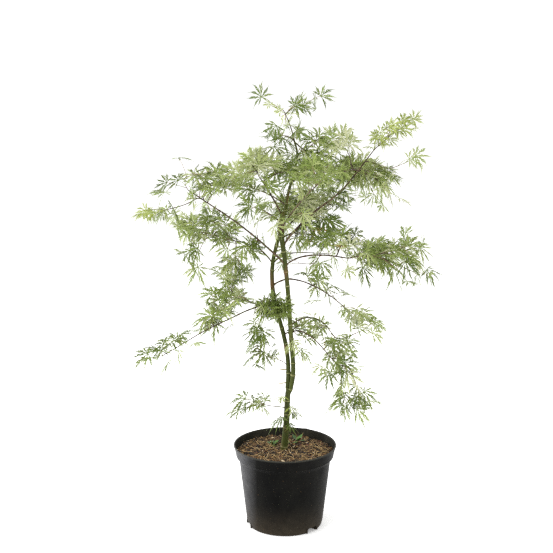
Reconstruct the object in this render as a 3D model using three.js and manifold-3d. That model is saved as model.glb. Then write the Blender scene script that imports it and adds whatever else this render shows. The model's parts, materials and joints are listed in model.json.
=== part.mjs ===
// Potted laceleaf Japanese maple, about 1.2 m tall: a black nursery pot full of potting mix, a short
// trunk that forks into two wandering stems, the main boughs, and the masses of cut foliage.
// Millimetres, +Z up, +X to the right, +Y to the back. The origin is the middle of the pot's flat underside.

import * as THREE from 'three';
import { mergeVertices } from 'three/addons/utils/BufferGeometryUtils.js';
import Module from 'manifold-3d';

const wasm = await Module();
wasm.setup();

// ---------------------------------------------------------------- driving dimensions

const GAP = 0.35; // clearance left where one piece is cut round another

const POT = {
  height: 230,
  rimRadius: 142,
  lipHeight: 4, // the rounded lip on top of the band
  lipWidth: 3.5,
  lipRound: 1,
  bandHeight: 31, // the stiff upright band under the rim
  bandRadius: 135, // at the band's lower edge
  shoulderHeight: 9, // the slope from the band in to the wall
  wallTopRadius: 126.5,
  wallFootRadius: 106,
  footHeight: 12,
  footRadius: 102,
  footRound: 2,
  wall: 2.4,
  floor: 3,
  fold: 2, // how much higher the inner face turns than the outer one
  sides: 28,
};

const NOTCH = {
  azimuths: [-44, 76, 196], // degrees in plan, from +X towards +Y
  width: 38,
  height: 15,
  depth: 26, // in from the foot's edge
  wall: 2.2,
  holeWidth: 16,
  holeHeight: 8,
  holeDrop: 2, // the hole's top under the notch's top
};

const SOIL = {
  level: 212, // height of the level ring round the trunk
  levelRadius: 24,
  middleRing: 0.6, // a ring of corners between the trunk and the wall, against the edge's radius
  edgeDrop: 3, // how much lower the mix lies at the wall
  humpHeight: 1.8,
  humpLengths: [21, 17], // across and front to back
  rippleLength: 11,
  rippleShare: 0.5,
};

const LOOKS = {
  plastic: { color: '#23221f', roughness: 0.55 },
  mix: { color: '#58482f', roughness: 0.95 },
  bark: { color: '#5b6130', roughness: 0.75 },
  twig: { color: '#5a4632', roughness: 0.75 },
  leaf: { color: '#7d8f4b', roughness: 0.85 },
  freshLeaf: { color: '#a9bb63', roughness: 0.85 },
};

// ---------------------------------------------------------------- small helpers

const radians = THREE.MathUtils.degToRad;

/** A value read from evenly spaced stations, at t from 0 to 1. */
function between(stations, t) {
  const place = t * (stations.length - 1);
  const index = Math.min(Math.floor(place), stations.length - 2);
  return THREE.MathUtils.lerp(stations[index], stations[index + 1], place - index);
}

/** A closed three.js geometry as a solid. */
function solidOf(geometry) {
  const bare = geometry.clone();
  bare.deleteAttribute('normal');
  bare.deleteAttribute('uv');
  const merged = mergeVertices(bare, 1e-4);
  return new wasm.Manifold(new wasm.Mesh({
    numProp: 3,
    vertProperties: new Float32Array(merged.attributes.position.array),
    triVerts: new Uint32Array(merged.index.array),
  }));
}

/** A solid as a three.js geometry. */
function geometryOf(solid) {
  const mesh = solid.getMesh();
  const geometry = new THREE.BufferGeometry();
  geometry.setAttribute('position', new THREE.BufferAttribute(mesh.vertProperties, 3));
  geometry.setIndex(new THREE.BufferAttribute(mesh.triVerts, 1));
  geometry.computeVertexNormals();
  return geometry;
}

/** The largest body of a solid, after a cut that may leave crumbs. */
function mainBody(solid) {
  const bodies = solid.decompose();
  return bodies.reduce((best, body) => (body.volume() > best.volume() ? body : best));
}

function boxesMeet(a, b) {
  const [p, q] = [a.boundingBox(), b.boundingBox()];
  return [0, 1, 2].every((k) => p.min[k] < q.max[k] && q.min[k] < p.max[k]);
}

/** Solid a cut clear of solid b, where they meet. */
function cutClear(a, b) {
  return boxesMeet(a, b) ? mainBody(a.subtract(b)) : a;
}

// ---------------------------------------------------------------- pot and potting mix

/** A surface of revolution about the pot's axis, from [radius, height] pairs that start and end on it. */
function turned(profile, sides) {
  const geometry = new THREE.LatheGeometry(profile.map(([r, z]) => new THREE.Vector2(r, z)), sides);
  geometry.rotateX(Math.PI / 2);
  return solidOf(geometry);
}

/** A box at the foot of the pot, pointing outwards at an azimuth, from one radius to another. */
function footBox(azimuth, fromRadius, toRadius, width, fromHeight, toHeight) {
  const box = new THREE.BoxGeometry(toRadius - fromRadius, width, toHeight - fromHeight);
  box.translate((fromRadius + toRadius) / 2, 0, (fromHeight + toHeight) / 2);
  box.rotateZ(radians(azimuth));
  return solidOf(box);
}

/** The walls that fold in round each drain notch, thicker or wider by a margin. */
function notchHousings(margin) {
  const inner = POT.footRadius - NOTCH.depth - NOTCH.wall - margin;
  const outer = POT.wallFootRadius - POT.wall / 2;
  const width = NOTCH.width + 2 * (NOTCH.wall + margin);
  const top = NOTCH.height + NOTCH.wall + margin;
  return NOTCH.azimuths.map((azimuth) => footBox(azimuth, inner, outer, width, POT.floor / 2, top));
}

const BAND_FOOT = POT.height - POT.bandHeight;
const WALL_TOP = BAND_FOOT - POT.shoulderHeight;
const LIP_FOOT = POT.height - POT.lipHeight;

/** Radius of the band's inner face at a height. */
function bandInside(height) {
  const t = THREE.MathUtils.inverseLerp(BAND_FOOT + POT.fold, LIP_FOOT, height);
  return THREE.MathUtils.lerp(POT.bandRadius - POT.wall, POT.rimRadius - POT.lipWidth, t);
}

function potSolid() {
  const inner = (radius) => radius - POT.wall;
  let pot = turned([
    [0, 0],
    [POT.footRadius, 0],
    [POT.footRadius + POT.footRound, POT.footRound],
    [POT.wallFootRadius, POT.footHeight],
    [POT.wallTopRadius, WALL_TOP],
    [POT.bandRadius, BAND_FOOT],
    [POT.rimRadius - POT.lipRound, LIP_FOOT],
    [POT.rimRadius, (LIP_FOOT + POT.height) / 2],
    [POT.rimRadius - POT.lipRound, POT.height],
    [POT.rimRadius - POT.lipWidth, POT.height],
    [bandInside(LIP_FOOT), LIP_FOOT],
    [inner(POT.bandRadius), BAND_FOOT + POT.fold],
    [inner(POT.wallTopRadius), WALL_TOP + POT.fold],
    [inner(POT.wallFootRadius), POT.footHeight],
    [inner(POT.footRadius), POT.floor],
    [0, POT.floor],
  ], POT.sides);
  for (const housing of notchHousings(0)) {
    pot = pot.add(housing);
  }
  for (const azimuth of NOTCH.azimuths) {
    const inside = POT.footRadius - NOTCH.depth;
    const holeTop = NOTCH.height - NOTCH.holeDrop;
    const holeFoot = holeTop - NOTCH.holeHeight;
    const notch = footBox(azimuth, inside, POT.rimRadius, NOTCH.width, -POT.floor, NOTCH.height);
    const behind = inside - 2 * NOTCH.wall;
    const before = inside + NOTCH.wall;
    const hole = footBox(azimuth, behind, before, NOTCH.holeWidth, holeFoot, holeTop);
    pot = pot.subtract(notch).subtract(hole);
  }
  return mainBody(pot);
}

/** Height of the potting mix over a point in plan: level round the trunk, uneven further out. */
function soilHeight(x, y) {
  const radius = Math.hypot(x, y);
  const out = THREE.MathUtils.smoothstep(radius, SOIL.levelRadius, POT.bandRadius);
  const humps = Math.sin(x / SOIL.humpLengths[0]) * Math.cos(y / SOIL.humpLengths[1]);
  const ripples = SOIL.rippleShare * Math.sin((x - y) / SOIL.rippleLength);
  return SOIL.level + out * (SOIL.humpHeight * (humps + ripples) - SOIL.edgeDrop);
}

function soilSolid() {
  const fit = (radius) => radius - POT.wall - 2 * GAP;
  const lowest = SOIL.level - SOIL.edgeDrop - SOIL.humpHeight * (1 + SOIL.rippleShare);
  const edge = bandInside(lowest) - 2 * GAP;
  const geometry = new THREE.LatheGeometry([
    [0, POT.floor + GAP],
    [fit(POT.footRadius) - GAP, POT.floor + GAP],
    [fit(POT.wallTopRadius), WALL_TOP + POT.fold],
    [fit(POT.bandRadius), BAND_FOOT + POT.fold],
    [edge, SOIL.level],
    [edge * SOIL.middleRing, SOIL.level],
    [SOIL.levelRadius, SOIL.level],
    [0, SOIL.level],
  ].map(([r, z]) => new THREE.Vector2(r, z)), POT.sides);
  geometry.rotateX(Math.PI / 2);
  const position = geometry.attributes.position;
  for (let i = 0; i < position.count; i++) {
    if (position.getZ(i) > SOIL.level - GAP) {
      position.setZ(i, soilHeight(position.getX(i), position.getY(i)));
    }
  }
  let soil = solidOf(geometry);
  for (const housing of notchHousings(GAP)) {
    soil = soil.subtract(housing);
  }
  return mainBody(soil);
}

// ---------------------------------------------------------------- trunk, stems and boughs

const STEPS = 48; // steps in which a limb's route is walked
const RING_STEP = 45; // length of a bough from one ring of corners to the next

/** The route of an upright stem: how far it leans right and back, in degrees, at even stations. */
function stemRoute({ foot, length, right, back }) {
  return walk(foot, length, (t) => new THREE.Vector3(
    Math.tan(radians(between(right, t))),
    Math.tan(radians(between(back, t))),
    1,
  ).normalize());
}

/** The route of a bough: its heading in plan (0 is right, 90 is back) and its rise, in degrees. */
function boughRoute({ foot, length, heading, rise }) {
  return walk(foot, length, (t) => {
    const plan = radians(between(heading, t));
    const climb = radians(between(rise, t));
    return new THREE.Vector3(
      Math.cos(climb) * Math.cos(plan),
      Math.cos(climb) * Math.sin(plan),
      Math.sin(climb),
    );
  });
}

/** Steps along a changing direction from a foot, as a smooth curve. */
function walk(foot, length, direction) {
  const points = [foot.clone()];
  for (let i = 0; i < STEPS; i++) {
    const step = direction((i + 0.5) / STEPS).multiplyScalar(length / STEPS);
    points.push(points[i].clone().add(step));
  }
  return points;
}

function pointOn(route, t) {
  return new THREE.Vector3(...['x', 'y', 'z'].map((axis) => between(route.map((p) => p[axis]), t)));
}

/** A limb: a capped cylinder bent along its route, with radii from even stations, grown by a margin. */
function limbSolid({ route, radii, sides, rings }, margin = 0) {
  const geometry = new THREE.CylinderGeometry(1, 1, 1, sides, rings);
  const position = geometry.attributes.position;
  const tangents = Array.from({ length: rings + 1 }, (_, ring) => {
    const t = ring / rings;
    const ahead = pointOn(route, Math.min(t + 0.5 / rings, 1));
    return ahead.sub(pointOn(route, Math.max(t - 0.5 / rings, 0))).normalize();
  });
  let frame = new THREE.Quaternion().setFromUnitVectors(new THREE.Vector3(0, 1, 0), tangents[0]);
  const frames = [frame];
  for (let ring = 1; ring <= rings; ring++) {
    const turn = new THREE.Quaternion().setFromUnitVectors(tangents[ring - 1], tangents[ring]);
    frame = turn.multiply(frame);
    frames.push(frame);
  }
  for (let i = 0; i < position.count; i++) {
    const t = position.getY(i) + 0.5;
    const ring = Math.round(t * rings);
    const radius = between(radii, t) + margin;
    const offset = new THREE.Vector3(position.getX(i), 0, position.getZ(i)).multiplyScalar(radius);
    const centre = pointOn(route, t);
    if (ring === 0 || ring === rings) {
      centre.addScaledVector(tangents[ring], ring === 0 ? -margin : margin);
    }
    centre.add(offset.applyQuaternion(frames[ring]));
    position.setXYZ(i, centre.x, centre.y, centre.z);
  }
  return solidOf(geometry);
}

const BURIED = 12; // the trunk's route starts this far below the potting mix, and is cut off level with it
const TRUNK_FOOT = new THREE.Vector3(-4, 0, SOIL.level - BURIED);
const FORK_AT = 0.96; // where the two stems part, up the trunk's route
const LEFT_STEM_SHIFT = new THREE.Vector3(-1, 1, 0); // each stem's foot, from the middle of the fork
const RIGHT_STEM_SHIFT = new THREE.Vector3(4, -2, 0);

const stems = {};
stems.trunk = {
  route: stemRoute({ foot: TRUNK_FOOT, length: 192, right: [6, 5, 1, 6], back: [0, 0] }),
  radii: [13, 9.4, 8.9, 8.6, 8.2, 7.8, 7.4, 7.2],
  sides: 9,
  rings: 7,
};
const FORK = pointOn(stems.trunk.route, FORK_AT);
stems.left_stem = {
  route: stemRoute({
    foot: FORK.clone().add(LEFT_STEM_SHIFT),
    length: 710,
    right: [4, -1, -11, -18, -11, -1, 14, 17, 6, 19, 11, -32],
    back: [5, 2, 1],
  }),
  radii: [6.2, 5, 5, 5.2, 5, 4.8, 4.4, 4, 3.6, 3.1, 2.5, 1.8],
  sides: 8,
  rings: 17,
};
stems.right_stem = {
  route: stemRoute({
    foot: FORK.clone().add(RIGHT_STEM_SHIFT),
    length: 501,
    right: [21, 4, -6, -4, -4, -3, -5, -6, -5, -11, -2, 13],
    back: [-3, 3],
  }),
  radii: [5.6, 5, 4.8, 4.8, 4.8, 4.8, 4.7, 4.6, 6.4, 4.4],
  sides: 8,
  rings: 13,
};

/** Boughs: where each leaves its parent (0 foot, 1 tip), its length, heading, rise and end radii. */
const boughs = {
  upper_left_bough: {
    from: 'right_stem', at: 0.718, length: 367,
    heading: [-160, -164], rise: [44, 41, 34, 37], girth: [3.6, 1.5],
  },
  main_right_bough: {
    from: 'right_stem', at: 0.822, length: 407,
    heading: [-5, -1], rise: [52, 46, 34, 52, 55, 45], girth: [4.2, 1.3],
  },
  level_right_bough: {
    from: 'right_stem', at: 0.715, length: 339,
    heading: [-15, -12], rise: [39, 3, -8, -4, -36], girth: [3, 1.2],
  },
  right_under_bough: {
    from: 'right_stem', at: 0.38, length: 210,
    heading: [16, 36], rise: [43, 1, -43, -60, -73], girth: [2.4, 1],
  },
  inner_right_bough: {
    from: 'right_stem', at: 0.888, length: 146,
    heading: [33, 33], rise: [37, 32], girth: [3.2, 1.6],
  },
  rear_right_bough: {
    from: 'right_stem', at: 0.86, length: 240,
    heading: [62, 52], rise: [2, 10, 32], girth: [3.2, 1.4],
  },
  front_left_bough: {
    from: 'right_stem', at: 0.945, length: 209,
    heading: [-109, -110], rise: [22, 18], girth: [3, 1.3],
  },
  front_right_bough: {
    from: 'right_stem', at: 0.908, length: 275,
    heading: [-71, -62], rise: [36, 30], girth: [3, 1.3],
  },
  upper_leader: {
    from: 'right_stem', at: 0.985, length: 144,
    heading: [-140, -151], rise: [58, 53], girth: [3.2, 1.5],
  },
  left_bough: {
    from: 'left_stem', at: 0.51, length: 193,
    heading: [167, 168], rise: [60, 21, 4, 13], girth: [2.8, 1.2],
  },
  rear_level_right_bough: {
    from: 'left_stem', at: 0.508, length: 188,
    heading: [31, 27], rise: [44, -3, -8, -10], girth: [2.4, 1.1],
  },
  right_bough: {
    from: 'left_stem', at: 0.422, length: 275,
    heading: [5, 7], rise: [42, -16, -31, -41, -42], girth: [2.9, 1.1],
  },
  lower_left_bough: {
    from: 'left_stem', at: 0.345, length: 344,
    heading: [-165, -161], rise: [5, -24, -20, -30, -23], girth: [2.9, 1],
  },
  lower_right_bough: {
    from: 'left_stem', at: 0.225, length: 246,
    heading: [-14, -33], rise: [48, -11, -42, -47, -47, -37], girth: [2.4, 1],
  },
  rear_left_bough: {
    from: 'left_stem', at: 0.735, length: 196,
    heading: [122, 134], rise: [15, 4], girth: [2.6, 1.2],
  },
  top_bough: {
    from: 'left_stem', at: 0.99, length: 160,
    heading: [-129, -182], rise: [69, 68, 44, 40], girth: [1.8, 0.9],
  },
  low_left_bough: {
    from: 'left_stem', at: 0.1, length: 65,
    heading: [-163, -163], rise: [45, 24, 0], girth: [1.6, 0.9],
  },
  lowest_left_bough: {
    from: 'trunk', at: 0.708, length: 83,
    heading: [-165, -163], rise: [11, 9, 31], girth: [1.7, 0.9],
  },
  far_left_bough: {
    from: 'upper_left_bough', at: 0.83, length: 133,
    heading: [-162, -152], rise: [-35, -15, -7, -1], girth: [1.4, 0.9],
  },
};

// ---------------------------------------------------------------- masses of foliage

/**
 * Masses: lobes as centre, half sizes [right, back, up] and tilt (degrees, right end up), and the
 * boughs that end in them. A fresh mass holds the paler new leaves.
 */
const masses = {
  top_left_foliage: {
    lobes: [{ at: [-40, 0, 1165], size: [65, 25, 20], tilt: -43 }],
    ends: ['top_bough'],
    fresh: true,
  },
  top_right_foliage: { lobes: [{ at: [45, 20, 1165], size: [63, 38, 26], tilt: 24 }], fresh: true },
  crown_top_foliage: { lobes: [{ at: [0, 15, 1095], size: [61, 62, 34], tilt: 5 }] },
  upper_left_foliage: {
    lobes: [{ at: [-60, -30, 1025], size: [65, 80, 42], tilt: 5 }],
    ends: ['upper_leader'],
  },
  left_shoulder_foliage: {
    lobes: [{ at: [-185, -90, 985], size: [88, 62, 36], tilt: 8 }],
    ends: ['upper_left_bough'],
  },
  outer_left_foliage: {
    lobes: [
      { at: [-275, -110, 1017], size: [43, 36, 34], tilt: 0 },
      { at: [-320, -100, 970], size: [39, 34, 34], tilt: 0 },
    ],
    fresh: true,
  },
  far_left_foliage: {
    lobes: [{ at: [-345, -130, 895], size: [54, 42, 26], tilt: -3 }],
    ends: ['far_left_bough'],
    fresh: true,
  },
  middle_left_foliage: {
    lobes: [{ at: [-210, 50, 835], size: [106, 72, 41], tilt: -2 }],
    ends: ['left_bough'],
  },
  front_left_foliage: {
    lobes: [{ at: [-85, -195, 930], size: [50, 85, 38], tilt: 0 }],
    ends: ['front_left_bough'],
  },
  rear_left_foliage: {
    lobes: [{ at: [-105, 190, 940], size: [73, 80, 42], tilt: 0 }],
    ends: ['rear_left_bough'],
  },
  drooping_left_foliage: { lobes: [{ at: [-255, 25, 770], size: [38, 40, 49], tilt: 0 }] },
  inner_left_foliage: { lobes: [{ at: [-95, -20, 795], size: [38, 45, 27], tilt: 0 }] },
  under_left_foliage: { lobes: [{ at: [-145, 45, 711], size: [57, 60, 38], tilt: 0 }] },
  lower_left_foliage: {
    lobes: [
      { at: [-160, 15, 640], size: [70, 80, 43], tilt: 5 },
      { at: [-213, 0, 585], size: [51, 45, 32], tilt: 12 },
    ],
  },
  lower_left_tip_foliage: {
    lobes: [{ at: [-325, -82, 537], size: [84, 38, 30], tilt: 25 }],
    ends: ['lower_left_bough'],
    fresh: true,
  },
  stem_foliage: { lobes: [{ at: [-31, -34, 630], size: [54, 44, 35], tilt: 0 }] },
  low_left_foliage: {
    lobes: [
      { at: [-75, 5, 547], size: [50, 44, 34], tilt: 5 },
      { at: [-70, -8, 492], size: [53, 44, 35], tilt: 12 },
    ],
    ends: ['low_left_bough'],
  },
  lowest_left_foliage: {
    lobes: [{ at: [-95, -25, 360], size: [63, 38, 27], tilt: 20 }],
    ends: ['lowest_left_bough'],
  },
  upper_right_tip_foliage: {
    lobes: [{ at: [280, -25, 1095], size: [81, 48, 34], tilt: 32 }],
    ends: ['main_right_bough'],
    fresh: true,
  },
  upper_right_foliage: { lobes: [{ at: [123, 20, 1073], size: [80, 62, 36], tilt: 5 }] },
  crown_middle_foliage: { lobes: [{ at: [50, 35, 995], size: [91, 95, 53], tilt: 0 }] },
  right_shoulder_foliage: { lobes: [{ at: [180, 78, 985], size: [65, 85, 44], tilt: 12 }] },
  outer_right_foliage: { lobes: [{ at: [249, -20, 984], size: [56, 66, 36], tilt: -5 }] },
  right_spray_foliage: { lobes: [{ at: [265, -52, 926], size: [78, 48, 34], tilt: -8 }], fresh: true },
  inner_crown_foliage: {
    lobes: [{ at: [40, 85, 890], size: [76, 70, 49], tilt: 0 }],
    ends: ['inner_right_bough'],
  },
  middle_right_foliage: {
    lobes: [{ at: [115, 60, 820], size: [93, 85, 44], tilt: -8 }],
    ends: ['rear_level_right_bough'],
  },
  rear_right_foliage: {
    lobes: [{ at: [125, 195, 895], size: [84, 85, 48], tilt: 0 }],
    ends: ['rear_right_bough'],
  },
  front_right_foliage: {
    lobes: [{ at: [82, -195, 1022], size: [70, 85, 42], tilt: 0 }],
    ends: ['front_right_bough'],
  },
  level_right_foliage: {
    lobes: [{ at: [230, -20, 780], size: [88, 85, 40], tilt: -8 }],
    ends: ['level_right_bough'],
  },
  far_right_foliage: {
    lobes: [
      { at: [318, -80, 800], size: [58, 60, 46], tilt: 0 },
      { at: [343, -90, 733], size: [58, 42, 34], tilt: 5 },
    ],
  },
  inner_lower_right_foliage: { lobes: [{ at: [107, 82, 666], size: [87, 52, 33], tilt: -22 }] },
  lower_right_foliage: {
    lobes: [{ at: [215, 50, 575], size: [88, 55, 30], tilt: -18 }],
    ends: ['right_bough'],
  },
  under_right_foliage: { lobes: [{ at: [77, 62, 554], size: [56, 54, 36], tilt: 0 }] },
  low_right_foliage: {
    lobes: [{ at: [155, 35, 500], size: [52, 55, 41], tilt: 0 }],
    ends: ['right_under_bough'],
  },
  lowest_right_foliage: {
    lobes: [{ at: [140, -50, 460], size: [73, 52, 32], tilt: 8 }],
    ends: ['lower_right_bough'],
  },
  drooping_right_foliage: {
    lobes: [
      { at: [185, -60, 375], size: [73, 50, 32], tilt: 0 },
      { at: [160, -55, 412], size: [30, 28, 28], tilt: 0 },
    ],
  },
};

const LARGE_LOBE = 86; // a lobe with a half size over this gets the finer facets

// Seeded swellings of a lobe's surface: their depth against its half size, and how fast they change
// with direction and from one lobe to the next.
const SWELL = {
  depth: 0.1,
  broad: { x: 3.1, y: 2.7, turn: 1.7 },
  fine: { x: 3.9, z: 4.3, turn: 2.3, share: 0.7 },
};
const LOBE_TURN = 0.9; // how far the swellings turn from one lobe of a mass to the next

function swelling({ x, y, z }, seed) {
  const broad = Math.sin(SWELL.broad.x * x + seed) * Math.cos(SWELL.broad.y * y - SWELL.broad.turn * seed);
  const fine = Math.sin(SWELL.fine.z * z + SWELL.fine.x * x + SWELL.fine.turn * seed);
  return SWELL.depth * (broad + SWELL.fine.share * fine);
}

/** One lobe: a faceted ball with seeded swellings, stretched, tilted and put in place. */
function lobeSolid({ at, size, tilt }, seed, margin) {
  const detail = Math.max(...size) > LARGE_LOBE ? 2 : 1;
  const geometry = new THREE.IcosahedronGeometry(1, detail);
  const position = geometry.attributes.position;
  const point = new THREE.Vector3();
  for (let i = 0; i < position.count; i++) {
    point.fromBufferAttribute(position, i).normalize();
    point.multiplyScalar(1 + swelling(point, seed));
    point.multiply(new THREE.Vector3(...size).addScalar(margin));
    position.setXYZ(i, point.x, point.y, point.z);
  }
  geometry.rotateY(-radians(tilt));
  geometry.translate(...at);
  return solidOf(geometry);
}

function massSolid({ lobes }, seed, margin = 0) {
  return lobes
    .map((lobe, index) => lobeSolid(lobe, seed + LOBE_TURN * index, margin))
    .reduce((whole, lobe) => whole.add(lobe));
}

// ---------------------------------------------------------------- assembly

/** Everything under the level ring of potting mix round the trunk. */
function belowGround() {
  const box = new THREE.BoxGeometry(4 * SOIL.levelRadius, 4 * SOIL.levelRadius, SOIL.level);
  box.translate(0, 0, SOIL.level / 2 + GAP);
  return solidOf(box);
}

const BOUGH_SIDES = 6;
const FEWEST_RINGS = 4;

const group = new THREE.Group();

function place(name, solid, look) {
  const material = new THREE.MeshStandardMaterial({ ...look, metalness: 0 });
  const mesh = new THREE.Mesh(geometryOf(solid), material);
  mesh.name = name;
  group.add(mesh);
}

for (const bough of Object.values(boughs)) {
  const parent = stems[bough.from] ?? boughs[bough.from];
  bough.route = boughRoute({ ...bough, foot: pointOn(parent.route, bough.at) });
  bough.radii = bough.girth;
  bough.sides = BOUGH_SIDES;
  bough.rings = Math.max(FEWEST_RINGS, Math.round(bough.length / RING_STEP));
}

// Each limb is cut clear of those before it, so that a bough starts at its parent's bark.
const limbs = { ...stems, ...boughs };
const limbSolids = {};
const grownLimbs = {};
for (const [name, limb] of Object.entries(limbs)) {
  let solid = cutClear(limbSolid(limb), belowGround());
  for (const earlier of Object.values(grownLimbs)) {
    solid = cutClear(solid, earlier);
  }
  limbSolids[name] = solid;
  grownLimbs[name] = limbSolid(limb, GAP);
}

// A bough ends where it enters its mass; any other limb stays whole and the mass is cut round it.
const massSolids = {};
const grownMasses = {};
Object.entries(masses).forEach(([name, mass], seed) => {
  const ends = mass.ends ?? [];
  const grown = massSolid(mass, seed, GAP);
  let solid = massSolid(mass, seed);
  for (const earlier of Object.values(grownMasses)) {
    solid = cutClear(solid, earlier);
  }
  for (const limbName of Object.keys(limbs)) {
    if (ends.includes(limbName)) {
      limbSolids[limbName] = cutClear(limbSolids[limbName], grown);
    } else {
      solid = cutClear(solid, grownLimbs[limbName]);
    }
  }
  massSolids[name] = solid;
  grownMasses[name] = grown;
});

place('pot', potSolid(), LOOKS.plastic);
place('potting_mix', soilSolid(), LOOKS.mix);
for (const name of Object.keys(limbs)) {
  place(name, limbSolids[name], name in stems ? LOOKS.bark : LOOKS.twig);
}
for (const name of Object.keys(masses)) {
  place(name, massSolids[name], masses[name].fresh ? LOOKS.freshLeaf : LOOKS.leaf);
}

export default group;
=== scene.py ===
"""A potted laceleaf maple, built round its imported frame: relief bark, twigs, cut leaves, a nursery pot
and its potting mix. Metres, +Z up, in the frame's own axes. Every random draw is seeded."""

import json
import math

import bmesh
import bpy
import numpy as np
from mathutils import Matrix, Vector, noise

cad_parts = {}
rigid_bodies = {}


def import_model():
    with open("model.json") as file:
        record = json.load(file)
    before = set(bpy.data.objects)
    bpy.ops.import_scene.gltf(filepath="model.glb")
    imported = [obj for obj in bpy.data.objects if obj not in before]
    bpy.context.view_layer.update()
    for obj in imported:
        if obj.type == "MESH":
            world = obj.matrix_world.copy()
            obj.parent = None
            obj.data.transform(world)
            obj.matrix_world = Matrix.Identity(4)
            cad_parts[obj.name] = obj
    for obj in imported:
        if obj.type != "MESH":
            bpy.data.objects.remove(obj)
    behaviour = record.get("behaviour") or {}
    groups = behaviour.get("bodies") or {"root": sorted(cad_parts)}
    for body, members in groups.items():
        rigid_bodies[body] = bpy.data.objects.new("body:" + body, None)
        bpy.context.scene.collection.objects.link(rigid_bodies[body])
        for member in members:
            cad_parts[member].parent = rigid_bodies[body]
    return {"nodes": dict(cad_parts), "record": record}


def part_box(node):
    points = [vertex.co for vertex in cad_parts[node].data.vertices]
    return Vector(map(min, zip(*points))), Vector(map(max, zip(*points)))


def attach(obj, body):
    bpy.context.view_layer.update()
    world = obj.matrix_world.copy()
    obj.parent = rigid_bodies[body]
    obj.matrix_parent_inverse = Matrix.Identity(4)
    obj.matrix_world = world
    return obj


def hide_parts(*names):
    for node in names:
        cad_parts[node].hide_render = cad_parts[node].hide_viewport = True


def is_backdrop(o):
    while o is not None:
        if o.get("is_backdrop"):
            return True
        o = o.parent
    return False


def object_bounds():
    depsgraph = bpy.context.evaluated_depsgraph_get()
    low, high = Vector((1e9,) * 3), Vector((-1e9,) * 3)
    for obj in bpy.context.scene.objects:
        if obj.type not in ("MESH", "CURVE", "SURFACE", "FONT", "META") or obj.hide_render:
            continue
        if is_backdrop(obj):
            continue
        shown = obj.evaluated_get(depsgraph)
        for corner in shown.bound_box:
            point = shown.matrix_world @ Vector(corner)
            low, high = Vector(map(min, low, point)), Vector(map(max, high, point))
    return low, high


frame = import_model()
scene = bpy.context.scene
cad_low, cad_high = (np.array(corner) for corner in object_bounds())
slot_of = {part["node"]: part["material_slot"] for part in frame["record"]["subparts"]}
UP = np.array([0.0, 0.0, 1.0])


# ---------------- small helpers


def unit(v):
    return v / max(np.linalg.norm(v), 1e-9)


def linear(code):
    """An sRGB colour such as '5b6130' as linear values with alpha."""
    values = [int(code[k : k + 2], 16) / 255 for k in (0, 2, 4)]
    return [v / 12.92 if v <= 0.04045 else ((v + 0.055) / 1.055) ** 2.4 for v in values] + [1.0]


def wobble(x, y, z):
    """Smooth noise from about -1 to 1."""
    return noise.noise((x, y, z))


def hump(off, half):
    """A smooth bump: 1 where off is 0, and fading over about half."""
    return np.exp(-((off / half) ** 2))


def turns(count):
    """Angles evenly round a circle."""
    return np.arange(count) * 2 * math.pi / count


def circle(radius, count, height=0.0):
    """Points evenly round the Z axis."""
    return [(radius * math.cos(a), radius * math.sin(a), height) for a in turns(count)]


def compass(angle, rise=0.0):
    """The way that lies at an angle round the Z axis, with a rise."""
    return np.array([math.cos(angle), math.sin(angle), rise])


def new_object(name, data):
    made = bpy.data.objects.new(name, data)
    scene.collection.objects.link(made)
    return made


def level_of(name, table, usual):
    """The level under which a table lists a mass, or the usual one."""
    return next((level for level, names in table.items() if name in names.split()), usual)


class Pile:
    """Triangles gathered for one piece, each with the number of its material."""

    def __init__(self):
        self.points, self.faces, self.tints, self.count = [], [], [], 0

    def add(self, points, faces, tint=0):
        self.points.append(np.asarray(points, float).reshape(-1, 3))
        self.faces.append(np.asarray(faces, int).reshape(-1, 3) + self.count)
        self.tints.append(np.broadcast_to(tint, len(self.faces[-1])))
        self.count += len(self.points[-1])

    def triangles(self):
        return sum(len(f) for f in self.faces)

    def piece(self, name, materials, slot, smooth=True, replaces=()):
        """Makes the mesh object from the triangles gathered so far."""
        points, faces = np.concatenate(self.points), np.concatenate(self.faces)
        mesh = bpy.data.meshes.new(name)
        mesh.from_pydata(points, [], faces)
        for material in materials:
            mesh.materials.append(material)
        mesh.polygons.foreach_set("material_index", np.concatenate(self.tints).astype(np.int32))
        mesh.polygons.foreach_set("use_smooth", np.full(len(faces), smooth))
        mesh.update()
        declare(new_object(name, mesh), replaces)


def declare(piece, replaces=()):
    """Says what a piece rides on and stands for."""
    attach(piece, "root")
    if replaces:
        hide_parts(*replaces)


# ---------------- materials


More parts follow.
